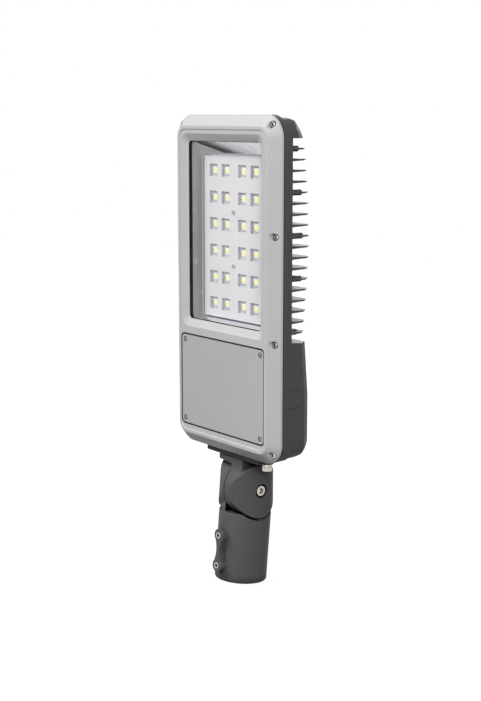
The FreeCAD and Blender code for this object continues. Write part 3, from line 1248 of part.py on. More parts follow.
HEAD_SIDE = {
    "rear_housing": rear_housing,
    "front_frame": front_frame,
    "frame_gasket": frame_gasket,
    "frame_screws": frame_screws,
    "driver_cover": driver_cover,
    "cover_gasket": cover_gasket,
    "cover_screws": cover_screws,
    "window_glass": window_glass,
    "glass_gasket": glass_gasket,
    "reflector_frame": reflector_frame,
    "lens_plate": lens_plate,
    "lens_plate_screws": lens_plate_screws,
    "led_board": led_board,
    "board_screws": board_screws,
    "led_packages": led_packages,
    "led_phosphors": led_phosphors,
    "led_lenses": led_lenses,
    "board_connector": board_connector,
    "led_lead": led_lead,
    "lead_grommet": lead_grommet,
    "led_driver": led_driver,
    "driver_screws": driver_screws,
    "surge_protector": surge_protector,
    "terminal_block": terminal_block,
    "cable_gland": cable_gland,
    "earth_screw": earth_screw,
    "breather_vent": breather_vent,
}


def save(name, shape):
    """Write one sub-part."""
    shape.exportStep("parts/" + name + ".step")
    print(name, "solids", len(shape.Solids), "valid", shape.isValid(), "volume", round(shape.Volume, 1))


for name, make in POLE_SIDE.items():
    save(name, make())
for name, make in BRACKET_SIDE.items():
    save(name, place_head(make(), about_pivot=True))
for name, make in HEAD_SIDE.items():
    save(name, place_head(make()))
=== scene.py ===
"""Looks of an LED street light head on a tilting pole adapter, laid out as a Blender add-on.

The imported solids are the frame. Each operator dresses one piece or one group of like pieces: it gives
them a finish, or puts a piece with finer detail in their place. Lengths of the head, the knuckle and
the fasteners are millimetres, and those of the finishes and the stage are metres.
"""

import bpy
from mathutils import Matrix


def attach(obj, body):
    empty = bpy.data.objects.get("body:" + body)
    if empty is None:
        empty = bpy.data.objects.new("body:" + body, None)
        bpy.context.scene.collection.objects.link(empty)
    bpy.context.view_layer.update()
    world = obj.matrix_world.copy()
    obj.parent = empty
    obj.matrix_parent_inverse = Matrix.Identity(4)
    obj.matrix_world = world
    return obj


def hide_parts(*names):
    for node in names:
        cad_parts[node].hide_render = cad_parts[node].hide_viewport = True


bl_info = {
    "name": "LED Street Light Head",
    "version": (1, 0, 0),
    "blender": (4, 5, 0),
    "location": "View3D > Sidebar > Lamp",
    "description": "Finishes and fine detail of an LED street light head",
    "category": "Object",
}

import math

import bmesh
import bpy
from mathutils import Matrix, Vector

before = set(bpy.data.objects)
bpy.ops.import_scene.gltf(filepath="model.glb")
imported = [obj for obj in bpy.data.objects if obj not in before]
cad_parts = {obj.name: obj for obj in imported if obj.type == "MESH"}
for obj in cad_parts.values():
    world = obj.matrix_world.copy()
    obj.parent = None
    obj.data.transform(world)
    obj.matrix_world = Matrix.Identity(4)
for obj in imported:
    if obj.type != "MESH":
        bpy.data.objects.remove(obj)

MM = 0.001

# Where the head sits on the knuckle, as in the solids
REST_TILT = math.radians(5.0)
PIVOT = Vector((0.0, 0.0, 130.0)) * MM
HEAD_ON_PIVOT = Vector((0.0, -45.2, 54.9)) * MM
HEAD_TURN = Matrix.Rotation(REST_TILT, 3, "X")

# Camera, found from the photo's LED rows and edges
PHOTO_SIZE = (481, 701)
CAMERA_FOCAL_PX = 1300.0
CAMERA_YAW = 0.8974643
CAMERA_PITCH = 0.1795794
CAMERA_PLACE = Vector((1360.115, -1136.346, 541.283)) * MM
SENSOR = 36.0

# Head, in its own millimetres: across, depth behind the crest, height above its bottom edge
FRAME_SCREWS = ((102.3, 301.0), (102.3, 162.5), (95.8, 441.2), (99.2, 15.2))
FRAME_SCREW_SEAT = 11.7
COVER_SCREWS = ((82.0, 35.3), (82.0, 147.1))
COVER_SCREW_FACE = 1.1
COVER_SCREW_RING = 1.25
COVER_HALF = 89.5
COVER_BOTTOM = 27.8
COVER_TOP = 154.6
COVER_GAP = 0.8
COVER_CORNER = 7.5
COVER_LIP = 0.5
COVER_BEAD_DEPTH = 1.85
COVER_BEAD_HEIGHT = 1.2
COVER_EASE = 0.3
LENS_PLATE_SCREWS = (326.2, 254.2)
LENS_PLATE_FRONT = 22.4
LED_ACROSS = (-43.8, -17.6, 17.6, 43.8)
LED_TOP = 380.2
LED_PITCH = 36.0
LED_ROWS = 6
BOARD_FRONT = 26.4
PACKAGE = 9.0
PACKAGE_HEIGHT = 0.7
PACKAGE_CORNER = 0.9
PACKAGE_RIM = 0.25
PACKAGE_EASE = 0.08
PHOSPHOR_R = 3.4
PHOSPHOR_HEIGHT = 0.4
DOME_R = 6.95
DOME_HEIGHT = 3.6
DOME_FOOT = 1.2
DOME_WALL = 0.8
DOME_FOOT_RIM = 0.25

# Knuckle, in millimetres from the pivot
BRACKET_BOLT = (46.5, -2.2)
FLANGE_SEAT = 42.8
FLAT_WASHER = 1.8
SPRING_WASHER = 2.3
PIVOT_SEAT = 21.2
PIVOT_WASHER = 1.9
NUT_SEAT = -24.0
SET_SCREW_HEIGHTS = (22.0, 64.5)
SET_SCREW_START = -31.1

# Angles in degrees between faces: below the first they count as one, above the second an outer corner
# is broken, above the third shading doesn't run across
COPLANAR = 0.6
BROKEN = 28.0
CRISP = 20.0

# Slacks in millimetres: how near points of a solid's mesh are made one, how near those of a spun form
# are, and how near a ring or a height a point counts as on it
MERGED = 0.002
MERGED_SPUN = 0.0001
NEAR = 0.01

# How far outside a hexagon's flats, in millimetres, its ring is spun before it is pushed to them
RECESS_SLACK = 0.05
HEX_SLACK = 0.01

# Where solids meet too sharply for a broken corner: a point of the lamp and a reach, in millimetres
HOUSING_SPARED = (((107.0, -17.0, 187.0), 16.0), ((98.8, -25.6, 184.8), 14.0))
ADAPTER_SPARED = (((3.0, 15.5, 95.4), 4.0), ((3.0, -15.5, 95.4), 4.0))

FULL_TURN = 2.0 * math.pi
SPIN_STEPS = 24

# Stage, in metres: each lamp's name, place, target, size and the setting that holds its power
LAMPS = (
    ("key lamp", (1.15, -0.70, 0.85), (0.0, 0.0, 0.45), 0.5, "key"),
    ("side lamp", (-1.2, -1.7, 2.0), (0.0, 0.0, 0.3), 1.0, "fill"),
    ("low lamp", (0.38, -0.38, 0.06), (0.0, 0.0, 0.10), 0.2, "low"),
    ("back lamp", (-1.2, 1.7, 1.2), (0.0, 0.0, 0.3), 1.0, "back"),
)
FLOOR_RADIUS = 9.0
FLOOR_CATCH = 0.20
FLOOR_GLOW_NEAR = 0.85
FLOOR_GLOW_FAR = 0.95
FLOOR_NEAR = 0.4
FLOOR_FAR = 2.0
ROOM_FULL_HEIGHT = 0.45
ROOM_FRONT_BIAS = 0.6

# Colours that no setting holds
PLATE_WHITE = (0.90, 0.895, 0.91, 1.0)
# Painted shade for the walls of the lens plate's holes
PLATE_HOLE_SHADE = (0.50, 0.50, 0.54, 1.0)
MASK_WHITE = (0.84, 0.84, 0.88, 1.0)
CERAMIC_WHITE = (0.90, 0.91, 0.96, 1.0)
PHOSPHOR_YELLOW = (1.0, 0.83, 0.20, 1.0)
SILICONE = (0.93, 0.94, 1.0, 1.0)
BRASS = (0.72, 0.52, 0.22, 1.0)
DRIVER_CASE = (0.6, 0.6, 0.61, 1.0)


def head_point(x, depth, z):
    """A point given in the head's own millimetres: across, depth behind the crest, height."""
    return HEAD_TURN @ (Vector((x, depth, z)) * MM + HEAD_ON_PIVOT) + PIVOT


def knuckle_point(x, y, z):
    """A point that leans with the head, given in millimetres from the pivot."""
    return HEAD_TURN @ (Vector((x, y, z)) * MM) + PIVOT


def pole_point(x, y, z):
    """A point of the pole side in millimetres."""
    return Vector((x, y, z)) * MM


FORWARD = HEAD_TURN @ Vector((0.0, -1.0, 0.0))
DOWNWARD = HEAD_TURN @ Vector((0.0, 0.0, -1.0))


def spun(profile, closed=False, steps=SPIN_STEPS, sweep=FULL_TURN, start=0.0):
    """Spin a half section about Z. Its points are (radius, height) in millimetres."""
    form = bmesh.new()
    across, along = math.cos(start) * MM, math.sin(start) * MM
    verts = [form.verts.new((radius * across, radius * along, height * MM)) for radius, height in profile]
    pairs = list(zip(verts, verts[1:]))
    if closed:
        pairs.append((verts[-1], verts[0]))
    edges = [form.edges.new(pair) for pair in pairs]
    full = abs(sweep - FULL_TURN) < 1e-6
    bmesh.ops.spin(form, geom=verts + edges, cent=(0, 0, 0), axis=(0, 0, 1), angle=sweep, steps=steps,
                   use_merge=full)
    bmesh.ops.remove_doubles(form, verts=form.verts, dist=MERGED_SPUN * MM)
    if not full:
        bmesh.ops.holes_fill(form, edges=[edge for edge in form.edges if edge.is_boundary], sides=0)
    bmesh.ops.recalc_face_normals(form, faces=form.faces)
    return form


def make_hex(form, radius, across_flats, heights, fall=0.0):
    """Push the round rings of one radius, between two heights, out or in to a hexagon.

    Fall sets the hexagon's corners lower by a share of how far they stand out.
    """
    low, high = heights
    for vert in form.verts:
        reach = math.hypot(vert.co.x, vert.co.y) / MM
        height = vert.co.z / MM
        if abs(reach - radius) > NEAR or not low - NEAR < height < high + NEAR:
            continue
        turn = math.atan2(vert.co.y, vert.co.x) % (math.pi / 3) - math.pi / 6
        wanted = across_flats / 2 / math.cos(turn)
        vert.co.x *= wanted / reach
        vert.co.y *= wanted / reach
        vert.co.z -= (wanted - across_flats / 2) * fall * MM
    return form


def standing(place, direction, turn=0.0):
    """Matrix that stands a form's Z along a direction, at a place."""
    toward = direction.to_track_quat("Z", "Y").to_matrix().to_4x4()
    return Matrix.Translation(place) @ toward @ Matrix.Rotation(turn, 4, "Z")


def gathered(form, matrices):
    """One bmesh of a form's copies, one at each matrix. The form itself is freed."""
    whole = bmesh.new()
    for matrix in matrices:
        copy = form.copy()
        copy.transform(matrix)
        mesh = bpy.data.meshes.new("part")
        copy.to_mesh(mesh)
        copy.free()
        whole.from_mesh(mesh)
        bpy.data.meshes.remove(mesh)
    form.free()
    return whole


def mark_sharp(form, degrees):
    """Smooth faces, with sharp edges where they meet at more than an angle."""
    for face in form.faces:
        face.smooth = True
    for edge in form.edges:
        edge.smooth = not (edge.is_manifold and edge.calc_face_angle() > math.radians(degrees))


def piece(name, form, material, body, replaced=(), sharp=35.0):
    """Turn a form into a piece that rides on a body and stands for CAD nodes."""
    mark_sharp(form, sharp)
    mesh = bpy.data.meshes.new(name)
    form.to_mesh(mesh)
    form.free()
    made = bpy.data.objects.new(name, mesh)
    bpy.context.scene.collection.objects.link(made)
    mesh.materials.append(material)
    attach(made, body)
    if replaced:
        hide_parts(*replaced)
    return made


def eased_copy(node, material, body, width, spared=()):
    """A casting with its corners broken: a merged copy of the solid, bevelled on its outer corners.

    Edges shorter than twice the width, such as those round small holes, stay sharp, and so do those
    near the spared points, which are given in millimetres with a radius, for both sides of the lamp.
    """
    form = bmesh.new()
    form.from_mesh(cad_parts[node].data)
    bmesh.ops.remove_doubles(form, verts=form.verts, dist=MERGED * MM)
    bmesh.ops.dissolve_limit(form, angle_limit=math.radians(COPLANAR), verts=form.verts, edges=form.edges,
                             use_dissolve_boundaries=False, delimit=set())
    weights = form.edges.layers.float.new("bevel_weight_edge")
    for edge in form.edges:
        meets = edge.is_manifold and edge.is_convex and edge.calc_face_angle() > math.radians(BROKEN)
        near = any((Vector((abs(vert.co.x), vert.co.y, vert.co.z)) - Vector(point) * MM).length < reach * MM
                   for vert in edge.verts for point, reach in spared)
        if meets and not near and edge.calc_length() > 2.0 * width:
            edge[weights] = 1.0
    made = piece("eased_" + node, form, material, body, (node,), CRISP)
    bevel = made.modifiers.new("corners", "BEVEL")
    bevel.width = width
    bevel.segments = 2
    bevel.profile = 0.5
    bevel.limit_method = "WEIGHT"
    bevel.harden_normals = True
    bevel.use_clamp_overlap = False
    bevel.material = -1
    return made


class Value:
    """One output of a finish's nodes. Sums and products with it add Math nodes."""

    def __init__(self, finish, socket):
        self.finish = finish
        self.socket = socket

    def _math(self, operation, first, second=None):
        sockets = {0: first}
        if second is not None:
            sockets[1] = second
        return self.finish.node("ShaderNodeMath", {"operation": operation}, sockets)[0]

    def __add__(self, other):
        return self._math("ADD", self, other)

    def __radd__(self, other):
        return self._math("ADD", other, self)

    def __sub__(self, other):
        return self._math("SUBTRACT", self, other)

    def __rsub__(self, other):
        return self._math("SUBTRACT", other, self)

    def __mul__(self, other):
        return self._math("MULTIPLY", self, other)

    def __rmul__(self, other):
        return self._math("MULTIPLY", other, self)

    def __pow__(self, other):
        return self._math("POWER", self, other)

    def clamped(self):
        """Held between 0 and 1."""
        return self.finish.node("ShaderNodeClamp", {}, {"Value": self})[0]

    def at_least(self, other):
        """The larger of two values."""
        return self._math("MAXIMUM", self, other)


class Finish:
    """A material or a world and the nodes that make it."""

    def __init__(self, name, kind="materials"):
        self.made = getattr(bpy.data, kind).new(name)
        self.made.use_nodes = True
        self.tree = self.made.node_tree
        self.tree.nodes.clear()

    def node(self, kind, settings, sockets):
        """Add a node: its settings first, then the values or links of its sockets. Returns its outputs."""
        made = self.tree.nodes.new(kind)
        for key, value in settings.items():
            setattr(made, key, value)
        for key, value in sockets.items():
            if isinstance(value, Value):
                self.tree.links.new(value.socket, made.inputs[key])
            else:
                made.inputs[key].default_value = value
        return [Value(self, socket) for socket in made.outputs if socket.enabled]

    def output(self, kind, name):
        """One output, by name, of a node that needs no input."""
        return Value(self, self.tree.nodes.new(kind).outputs[name])

    def place(self, stretch=(1.0, 1.0, 1.0)):
        """Object coordinates, stretched."""
        start = self.output("ShaderNodeTexCoord", "Object")
        return self.node("ShaderNodeMapping", {}, {"Vector": start, "Scale": stretch})[0]

    def noise(self, scale, detail=2.0, vector=None):
        """Cloudy noise from 0 to 1 with a number of spots to the metre."""
        inputs = {"Vector": vector or self.place(), "Scale": scale, "Detail": detail}
        return self.node("ShaderNodeTexNoise", {}, inputs)[0]

    def ramp(self, value, low, high):
        """0 below low, 1 above high, straight between."""
        inputs = {"Value": value, "From Min": low, "From Max": high, "To Min": 0.0, "To Max": 1.0}
        return self.node("ShaderNodeMapRange", {"clamp": True}, inputs)[0]

    def blend(self, factor, first, second):
        """A colour between two colours."""
        # Several sockets of this node share a name, so they go by index
        mix = self.tree.nodes.new("ShaderNodeMix")
        mix.data_type = "RGBA"
        for index, value in ((0, factor), (6, first), (7, second)):
            if isinstance(value, Value):
                self.tree.links.new(value.socket, mix.inputs[index])
            else:
                mix.inputs[index].default_value = value
        return Value(self, mix.outputs[2])

    def rounded(self, radius):
        """Normal with the corners eased."""
        return self.node("ShaderNodeBevel", {"samples": 6}, {"Radius": radius})[0]

    def corners(self, eased):
        """0 on flats, rising at corners."""
        flat = self.output("ShaderNodeNewGeometry", "Normal")
        dot = self.node("ShaderNodeVectorMath", {"operation": "DOT_PRODUCT"}, {0: eased, 1: flat})[0]
        return self.ramp(1.0 - dot, 0.01, 0.25)

    def creases(self, reach, low, high):
        """Where painted shade goes: 1 deep in recesses and along creases, 0 on open surfaces."""
        open_sky = self.node("ShaderNodeAmbientOcclusion", {"samples": 8}, {"Distance": reach})[1]
        return 1.0 - self.ramp(open_sky, low, high)

    def bump(self, height, distance, normal=None):
        """Normal pushed about by a height that stands for a distance in metres."""
        inputs = {"Height": height, "Distance": distance, "Strength": 1.0}
        if normal is not None:
            inputs["Normal"] = normal
        return self.node("ShaderNodeBump", {}, inputs)[0]

    def surface(self, **sockets):
        """Principled surface. Underscores in the names stand for spaces."""
        named = {key.replace("_", " "): value for key, value in sockets.items()}
        shader = self.node("ShaderNodeBsdfPrincipled", {}, named)[0]
        self.node("ShaderNodeOutputMaterial", {}, {"Surface": shader})
        return self.made


def grey(level, warm=0.0):
    """A grey as a colour, tinted a little towards red by warm."""
    return (level * (1 + warm), level, level * (1 - warm), 1.0)


def shade(colour, factor):
    """A colour made lighter or darker."""
    return tuple(min(1.0, channel * factor) for channel in colour[:3]) + (1.0,)


def powder_coat(name, colour, roughness, radius, peel, corner_highlight, gloss, reach):
    """Powder coat on a casting: slow drift of tone, fine grain, orange peel.

    The painted corner highlight says how much lighter the corners are. Recesses narrower than the reach, in
    metres, are darker with painted shade.
    """
    finish = Finish(name)
    drift = finish.noise(14.0, detail=3.0)
    grain = finish.noise(2400.0, detail=2.0)
    mottle = finish.noise(420.0, detail=3.0)
    skin = finish.noise(650.0, detail=2.0)
    eased = finish.rounded(radius)
    corner = finish.corners(eased)
    tone = 0.20 + 0.55 * drift + 0.10 * grain + 0.45 * mottle
    even = finish.blend(tone.clamped(), shade(colour, 0.88), shade(colour, 1.08))
    # Painted shade: recesses and creases darkened towards a fifth of the coat's colour
    base = finish.blend(finish.creases(reach, low=0.40, high=0.90) * 0.75, even, shade(colour, 0.22))
    # Painted highlight: corners lightened towards nearly twice the coat's colour
    highlit_corners = finish.blend((corner * corner_highlight).clamped(), base, shade(colour, 1.9))
    rough = roughness + 0.10 * (skin - 0.5) - 0.06 * corner
    height = skin * 0.7 + grain * 0.3
    normal = finish.bump(height, peel, normal=eased)
    return finish.surface(Base_Color=highlit_corners, Roughness=rough.clamped(), Normal=normal,
                          Specular_IOR_Level=gloss)


def bright_steel(name, colour, roughness):
    """Bright metal of fasteners: fine turning marks, a few dull patches, and recesses darkened with painted
    shade.
    """
    finish = Finish(name)
    patches = finish.noise(420.0, detail=3.0)
    marks = finish.noise(5200.0, detail=1.0, vector=finish.place((1.0, 1.0, 0.25)))
    eased = finish.rounded(0.00025)
    clean = finish.blend(patches, shade(colour, 0.72), colour)
    # Painted shade: recesses darkened towards near black
    base = finish.blend(finish.creases(0.004, low=0.25, high=0.70), clean, grey(0.02))
    rough = roughness + 0.16 * (patches - 0.4)
    normal = finish.bump(marks, 0.000015, normal=eased)
    return finish.surface(Base_Color=base, Metallic=1.0, Roughness=rough.clamped(), Normal=normal)


def black_seal(name, colour):
    """Moulded rubber with a faint bloom."""
    finish = Finish(name)
    bloom = finish.noise(180.0, detail=3.0)
    grain = finish.noise(3000.0, detail=2.0)
    base = finish.blend(bloom, colour, shade(colour, 1.8))
    normal = finish.bump(grain, 0.00002, normal=finish.rounded(0.0004))
    rough = 0.62 + 0.1 * (bloom - 0.5)
    return finish.surface(Base_Color=base, Roughness=rough, Normal=normal, Specular_IOR_Level=0.15)


def clear_pane(name, tint, least, most):
    """Clear pane: lets light through, and mirrors more at a slant."""
    finish = Finish(name)
    slant = finish.node("ShaderNodeLayerWeight", {}, {"Blend": 0.5})[1]
    film = finish.noise(25.0, detail=2.0)
    cover = least + (most - least) * slant ** 5.0 + 0.01 * film
    rough = 0.02 + 0.02 * film
    return finish.surface(Base_Color=tint, Metallic=1.0, Roughness=rough, Alpha=cover.clamped())


def facing(finish, axis):
    """How squarely a surface faces along an axis, either way: 1 square on, 0 edge on."""
    normal = finish.output("ShaderNodeNewGeometry", "True Normal")
    dot = finish.node("ShaderNodeVectorMath", {"operation": "DOT_PRODUCT"}, {0: normal, 1: axis})[0]
    return finish.node("ShaderNodeMath", {"operation": "ABSOLUTE"}, {0: dot})[0]


def reflector_sheet(name, bright, dull):
    """Sheet of a reflector: bright at the ends; on the sides rougher, scuffed and painted darker, as shade
    for the dark they mirror; pale on its ledge.
    """
    finish = Finish(name)
    sides = finish.ramp(facing(finish, (1.0, 0.0, 0.0)), 0.25, 0.35)
    streaks = finish.noise(900.0, detail=3.0, vector=finish.place((1.0, 1.0, 0.03)))
    scuffs = finish.ramp(finish.noise(170.0, detail=5.0, vector=finish.place((1.0, 1.0, 0.45))), 0.62, 0.70)
    haze = finish.noise(40.0, detail=2.0)
    ends = finish.blend(streaks, shade(bright, 0.84), bright)
    # Painted shade: the side walls darker than the ends, for the dark surroundings they mirror
    walls = finish.blend(streaks * 0.7 + 0.3 * haze, shade(dull, 0.80), shade(dull, 1.12))
    marked = finish.blend(scuffs * 0.45, walls, grey(0.62))
    ledges = finish.ramp(facing(finish, (0.0, -1.0, 0.0)), 0.80, 0.90)
    base = finish.blend(ledges, finish.blend(sides, ends, marked), grey(0.80))
    rough = 0.03 + 0.05 * haze + sides * (0.36 + 0.08 * streaks)
    normal = finish.bump(streaks, 0.00001)
    metal = 1.0 - 0.35 * sides - 0.8 * ledges
    return finish.surface(Base_Color=base, Metallic=metal.clamped(), Roughness=rough.clamped(),
                          Normal=normal)


def mirror_sheet(name, colour, roughness):
    """Bright rolled sheet with faint lengthwise streaks, a few scuffs and a little haze."""
    finish = Finish(name)
    streaks = finish.noise(900.0, detail=3.0, vector=finish.place((1.0, 1.0, 0.03)))
    haze = finish.noise(40.0, detail=2.0)
    scuffs = finish.ramp(finish.noise(260.0, detail=4.0), 0.66, 0.74)
    base = finish.blend(scuffs * 0.5, finish.blend(streaks, shade(colour, 0.84), colour), grey(0.9))
    rough = roughness + 0.10 * (haze - 0.4) + 0.06 * (streaks - 0.5)
    normal = finish.bump(streaks, 0.00001)
    return finish.surface(Base_Color=base, Metallic=1.0, Roughness=rough.clamped(), Normal=normal)


def moulded(name, colour, roughness, glow=0.0):
    """Moulded plastic or ceramic with a fine grain, and painted light: a constant emission in its own
    colour, though it is no lamp.
    """
    finish = Finish(name)
    grain = finish.noise(2800.0, detail=2.0)
    drift = finish.noise(30.0, detail=2.0)
    base = finish.blend(drift, shade(colour, 0.95), shade(colour, 1.02))
    normal = finish.bump(grain, 0.00001, normal=finish.rounded(0.0003))
    rough = roughness + 0.08 * (grain - 0.5)
    return finish.surface(Base_Color=base, Roughness=rough, Normal=normal, Emission_Color=base,
                          Emission_Strength=glow)


def punched_sheet(name, colour, hole_shade):
    """White coated sheet whose punched hole walls are painted darker than its face: painted shade inside
    the holes.
    """
    finish = Finish(name)
    grain = finish.noise(2800.0, detail=2.0)
    drift = finish.noise(30.0, detail=2.0)
    rim = finish.ramp(facing(finish, (0.0, -1.0, 0.0)), 0.5, 0.7)
    face = finish.blend(drift, shade(colour, 0.96), shade(colour, 1.01))
    # Painted shade: the walls of the holes in darker grey, the face white
    base = finish.blend(rim, finish.blend(grain, shade(hole_shade, 0.8), shade(hole_shade, 1.2)), face)
    normal = finish.bump(grain, 0.00001, normal=finish.rounded(0.0002))
    return finish.surface(Base_Color=base, Roughness=0.38 + 0.08 * (grain - 0.5), Normal=normal)


def phosphor_gel(name, colour):
    """Yellow phosphor in silicone, with fine grains and an emission that is mostly painted light, though
    the phosphor fluoresces a little under the room's light.
    """
    finish = Finish(name)
    grains = finish.noise(6000.0, detail=2.0)
    base = finish.blend(grains, shade(colour, 0.9), shade(colour, 1.08))
    # Painted light: a constant emission in the phosphor's own colour, though the LEDs are off
    return finish.surface(Base_Color=base, Roughness=0.35, Normal=finish.bump(grains, 0.00001),
                          Emission_Color=base, Emission_Strength=0.45)


def clear_dome(name, tint):
    """Clear silicone dome: its slanting sides turn opaque and pale, a painted reflection where a clear dome
    mirrors more; its middle lets the light through.
    """
    finish = Finish(name)
    slant = finish.node("ShaderNodeLayerWeight", {}, {"Blend": 0.5})[1]
    # Painted reflection: the pale tint shows where the slant makes the dome opaque
    cover = 0.06 + 0.75 * slant ** 2.5
    rough = 0.05 + 0.05 * slant
    return finish.surface(Base_Color=tint, Metallic=0.1, Roughness=rough, Alpha=cover.clamped())


def dress(node, material):
    """Put a finish on every slot of a CAD node."""
    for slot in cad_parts[node].material_slots:
        slot.material = material


def colour_of(value):
    """A colour property as a tuple."""
    return tuple(value)[:3] + (1.0,)


class LampCoats(bpy.types.PropertyGroup):
    dark_coat: bpy.props.FloatVectorProperty(
        name="Dark coat", description="Colour of the housing",
        subtype="COLOR", size=3, min=0.0, max=1.0, default=(0.092, 0.086, 0.086))
    knuckle_coat: bpy.props.FloatVectorProperty(
        name="Knuckle coat", description="Colour of the bracket and the pole adapter",
        subtype="COLOR", size=3, min=0.0, max=1.0, default=(0.122, 0.115, 0.116))
    light_coat: bpy.props.FloatVectorProperty(
        name="Light coat", description="Colour of the front frame",
        subtype="COLOR", size=3, min=0.0, max=1.0, default=(0.59, 0.59, 0.595))
    cover_coat: bpy.props.FloatVectorProperty(
        name="Cover coat", description="Colour of the driver cover",
        subtype="COLOR", size=3, min=0.0, max=1.0, default=(0.515, 0.513, 0.515))
    corner_radius: bpy.props.FloatProperty(
        name="Corner radius", description="Ease of the castings' corners",
        subtype="DISTANCE", min=0.0, max=0.003, default=0.0008)


class LampMetal(bpy.types.PropertyGroup):
    steel: bpy.props.FloatVectorProperty(
        name="Steel", description="Colour of the fasteners",
        subtype="COLOR", size=3, min=0.0, max=1.0, default=(0.62, 0.585, 0.54))
    mirror: bpy.props.FloatVectorProperty(
        name="Mirror", description="Colour of the bright reflector",
        subtype="COLOR", size=3, min=0.0, max=1.0, default=(0.80, 0.81, 0.86))
    # Side walls darker than the mirror: painted shade for the dark they mirror
    shaded_side_walls: bpy.props.FloatVectorProperty(
        name="Shaded side walls", description="Colour of the reflector's side walls",
        subtype="COLOR", size=3, min=0.0, max=1.0, default=(0.37, 0.355, 0.345))


class LampLight(bpy.types.PropertyGroup):
    key: bpy.props.FloatProperty(
        name="Key light", description="Power of the lamp in front on the right", min=0.0, default=9.0)
    low: bpy.props.FloatProperty(
        name="Low light", description="Power of the small lamp near the knuckle", min=0.0, default=0.34)
    fill: bpy.props.FloatProperty(
        name="Fill light", description="Power of the lamp in front on the left", min=0.0, default=42.0)
    back: bpy.props.FloatProperty(
        name="Back light", description="Power of the lamp behind", min=0.0, default=30.0)
    ambient: bpy.props.FloatProperty(
        name="Room light", description="Strength of the light from all round", min=0.0, default=0.46)
    floor_tone: bpy.props.FloatProperty(
        name="Floor tone", description="How much light the floor throws back",
        min=0.0, max=1.0, default=0.03)


class LAMP_OT_castings(bpy.types.Operator):
    """Coat the housing, the bracket and the pole adapter"""
    bl_idname = "lamp.castings"
    bl_label = "Dark Castings"

    def execute(self, context):
        coats = context.scene.lamp_coats
        radius = coats.corner_radius
        # Both coats carry painted shade in creases and a painted highlight on corners; the knuckle's shade
        # reaches farthest
        housing = powder_coat("housing coat", colour_of(coats.dark_coat), roughness=0.52, radius=radius,
                              peel=0.00006, corner_highlight=1.2, gloss=0.08, reach=0.006)
        knuckle = powder_coat("knuckle coat", colour_of(coats.knuckle_coat), roughness=0.44,
                              radius=radius, peel=0.00012, corner_highlight=1.2, gloss=0.04, reach=0.018)
        eased_copy("rear_housing", housing, "head", radius, HOUSING_SPARED)
        eased_copy("head_bracket", knuckle, "head", radius)
        eased_copy("pole_adapter", knuckle, "pole_side", radius, ADAPTER_SPARED)
        return {"FINISHED"}


def cover_gap_shadow():
    """Black lip of the cover's seal, a rounded rectangle that fills the gap round the cover: partly the
    seal, partly painted shadow of the gap, widened and darkened.
    """
    out = COVER_GAP + COVER_LIP
    form = bmesh.new()
    bmesh.ops.create_grid(form, x_segments=1, y_segments=1, size=0.5)
    wide, tall = 2 * (COVER_HALF + out), COVER_TOP - COVER_BOTTOM + 2 * out
    bmesh.ops.scale(form, vec=(wide * MM, tall * MM, 1.0), verts=form.verts)
    bmesh.ops.bevel(form, geom=form.verts[:], offset=COVER_CORNER * MM, segments=8, profile=0.5,
                    affect="VERTICES", material=-1)
    width = (out + COVER_LIP) * MM
    bmesh.ops.inset_region(form, faces=form.faces[:], thickness=width, depth=0.0,
                           use_boundary=True, use_even_offset=True)
    inner = max(form.faces, key=lambda face: face.calc_area())
    bmesh.ops.delete(form, geom=[inner], context="FACES_ONLY")
    made = bmesh.ops.extrude_face_region(form, geom=form.faces[:])
    verts = [item for item in made["geom"] if isinstance(item, bmesh.types.BMVert)]
    bmesh.ops.translate(form, vec=(0.0, 0.0, COVER_BEAD_HEIGHT * MM), verts=verts)
    bmesh.ops.recalc_face_normals(form, faces=form.faces)
    middle = head_point(0.0, COVER_BEAD_DEPTH, (COVER_BOTTOM + COVER_TOP) / 2)
    return gathered(form, [standing(middle, FORWARD)])


class LAMP_OT_front(bpy.types.Operator):
    """Coat the front frame and the driver cover"""
    bl_idname = "lamp.front"
    bl_label = "Front Frame"

    def execute(self, context):
        coats = context.scene.lamp_coats
        radius = coats.corner_radius
        # Both coats carry painted shade in creases and a painted highlight on corners
        light = powder_coat("frame coat", colour_of(coats.light_coat), roughness=0.42, radius=radius,
                            peel=0.00004, corner_highlight=0.25, gloss=0.12, reach=0.004)
        cover = powder_coat("cover coat", colour_of(coats.cover_coat), roughness=0.46, radius=0.0004,
                            peel=0.00004, corner_highlight=0.25, gloss=0.12, reach=0.002)
        eased_copy("front_frame", light, "head", radius)
        eased_copy("driver_cover", cover, "head", COVER_EASE * MM)
        # Black lip round the cover: the seal, widened and darkened as painted shadow of the gap
        piece("cover_seal_lip", cover_gap_shadow(), black_seal("cover lip", grey(0.008)), "head")
        return {"FINISHED"}


class LAMP_OT_window(bpy.types.Operator):
    """Finish the pane, its seal, the reflector and the lens plate"""
    bl_idname = "lamp.window"
    bl_label = "Window"

    def execute(self, context):
        metal = context.scene.lamp_metal
        dress("window_glass", clear_pane("window pane", grey(0.9), least=0.0, most=0.8))
        seal = black_seal("black seal", grey(0.012))
        for node in ("glass_gasket", "lead_grommet"):
            dress(node, seal)
        dress("frame_gasket", black_seal("grey seal", grey(0.05)))
        dress("cover_gasket", black_seal("cover seal", grey(0.012)))
        mirror, shaded_side_walls = colour_of(metal.mirror), colour_of(metal.shaded_side_walls)
        dress("reflector_frame", reflector_sheet("reflector sheet", mirror, shaded_side_walls))
        dress("lens_plate", punched_sheet("lens plate white", PLATE_WHITE, PLATE_HOLE_SHADE))
        return {"FINISHED"}


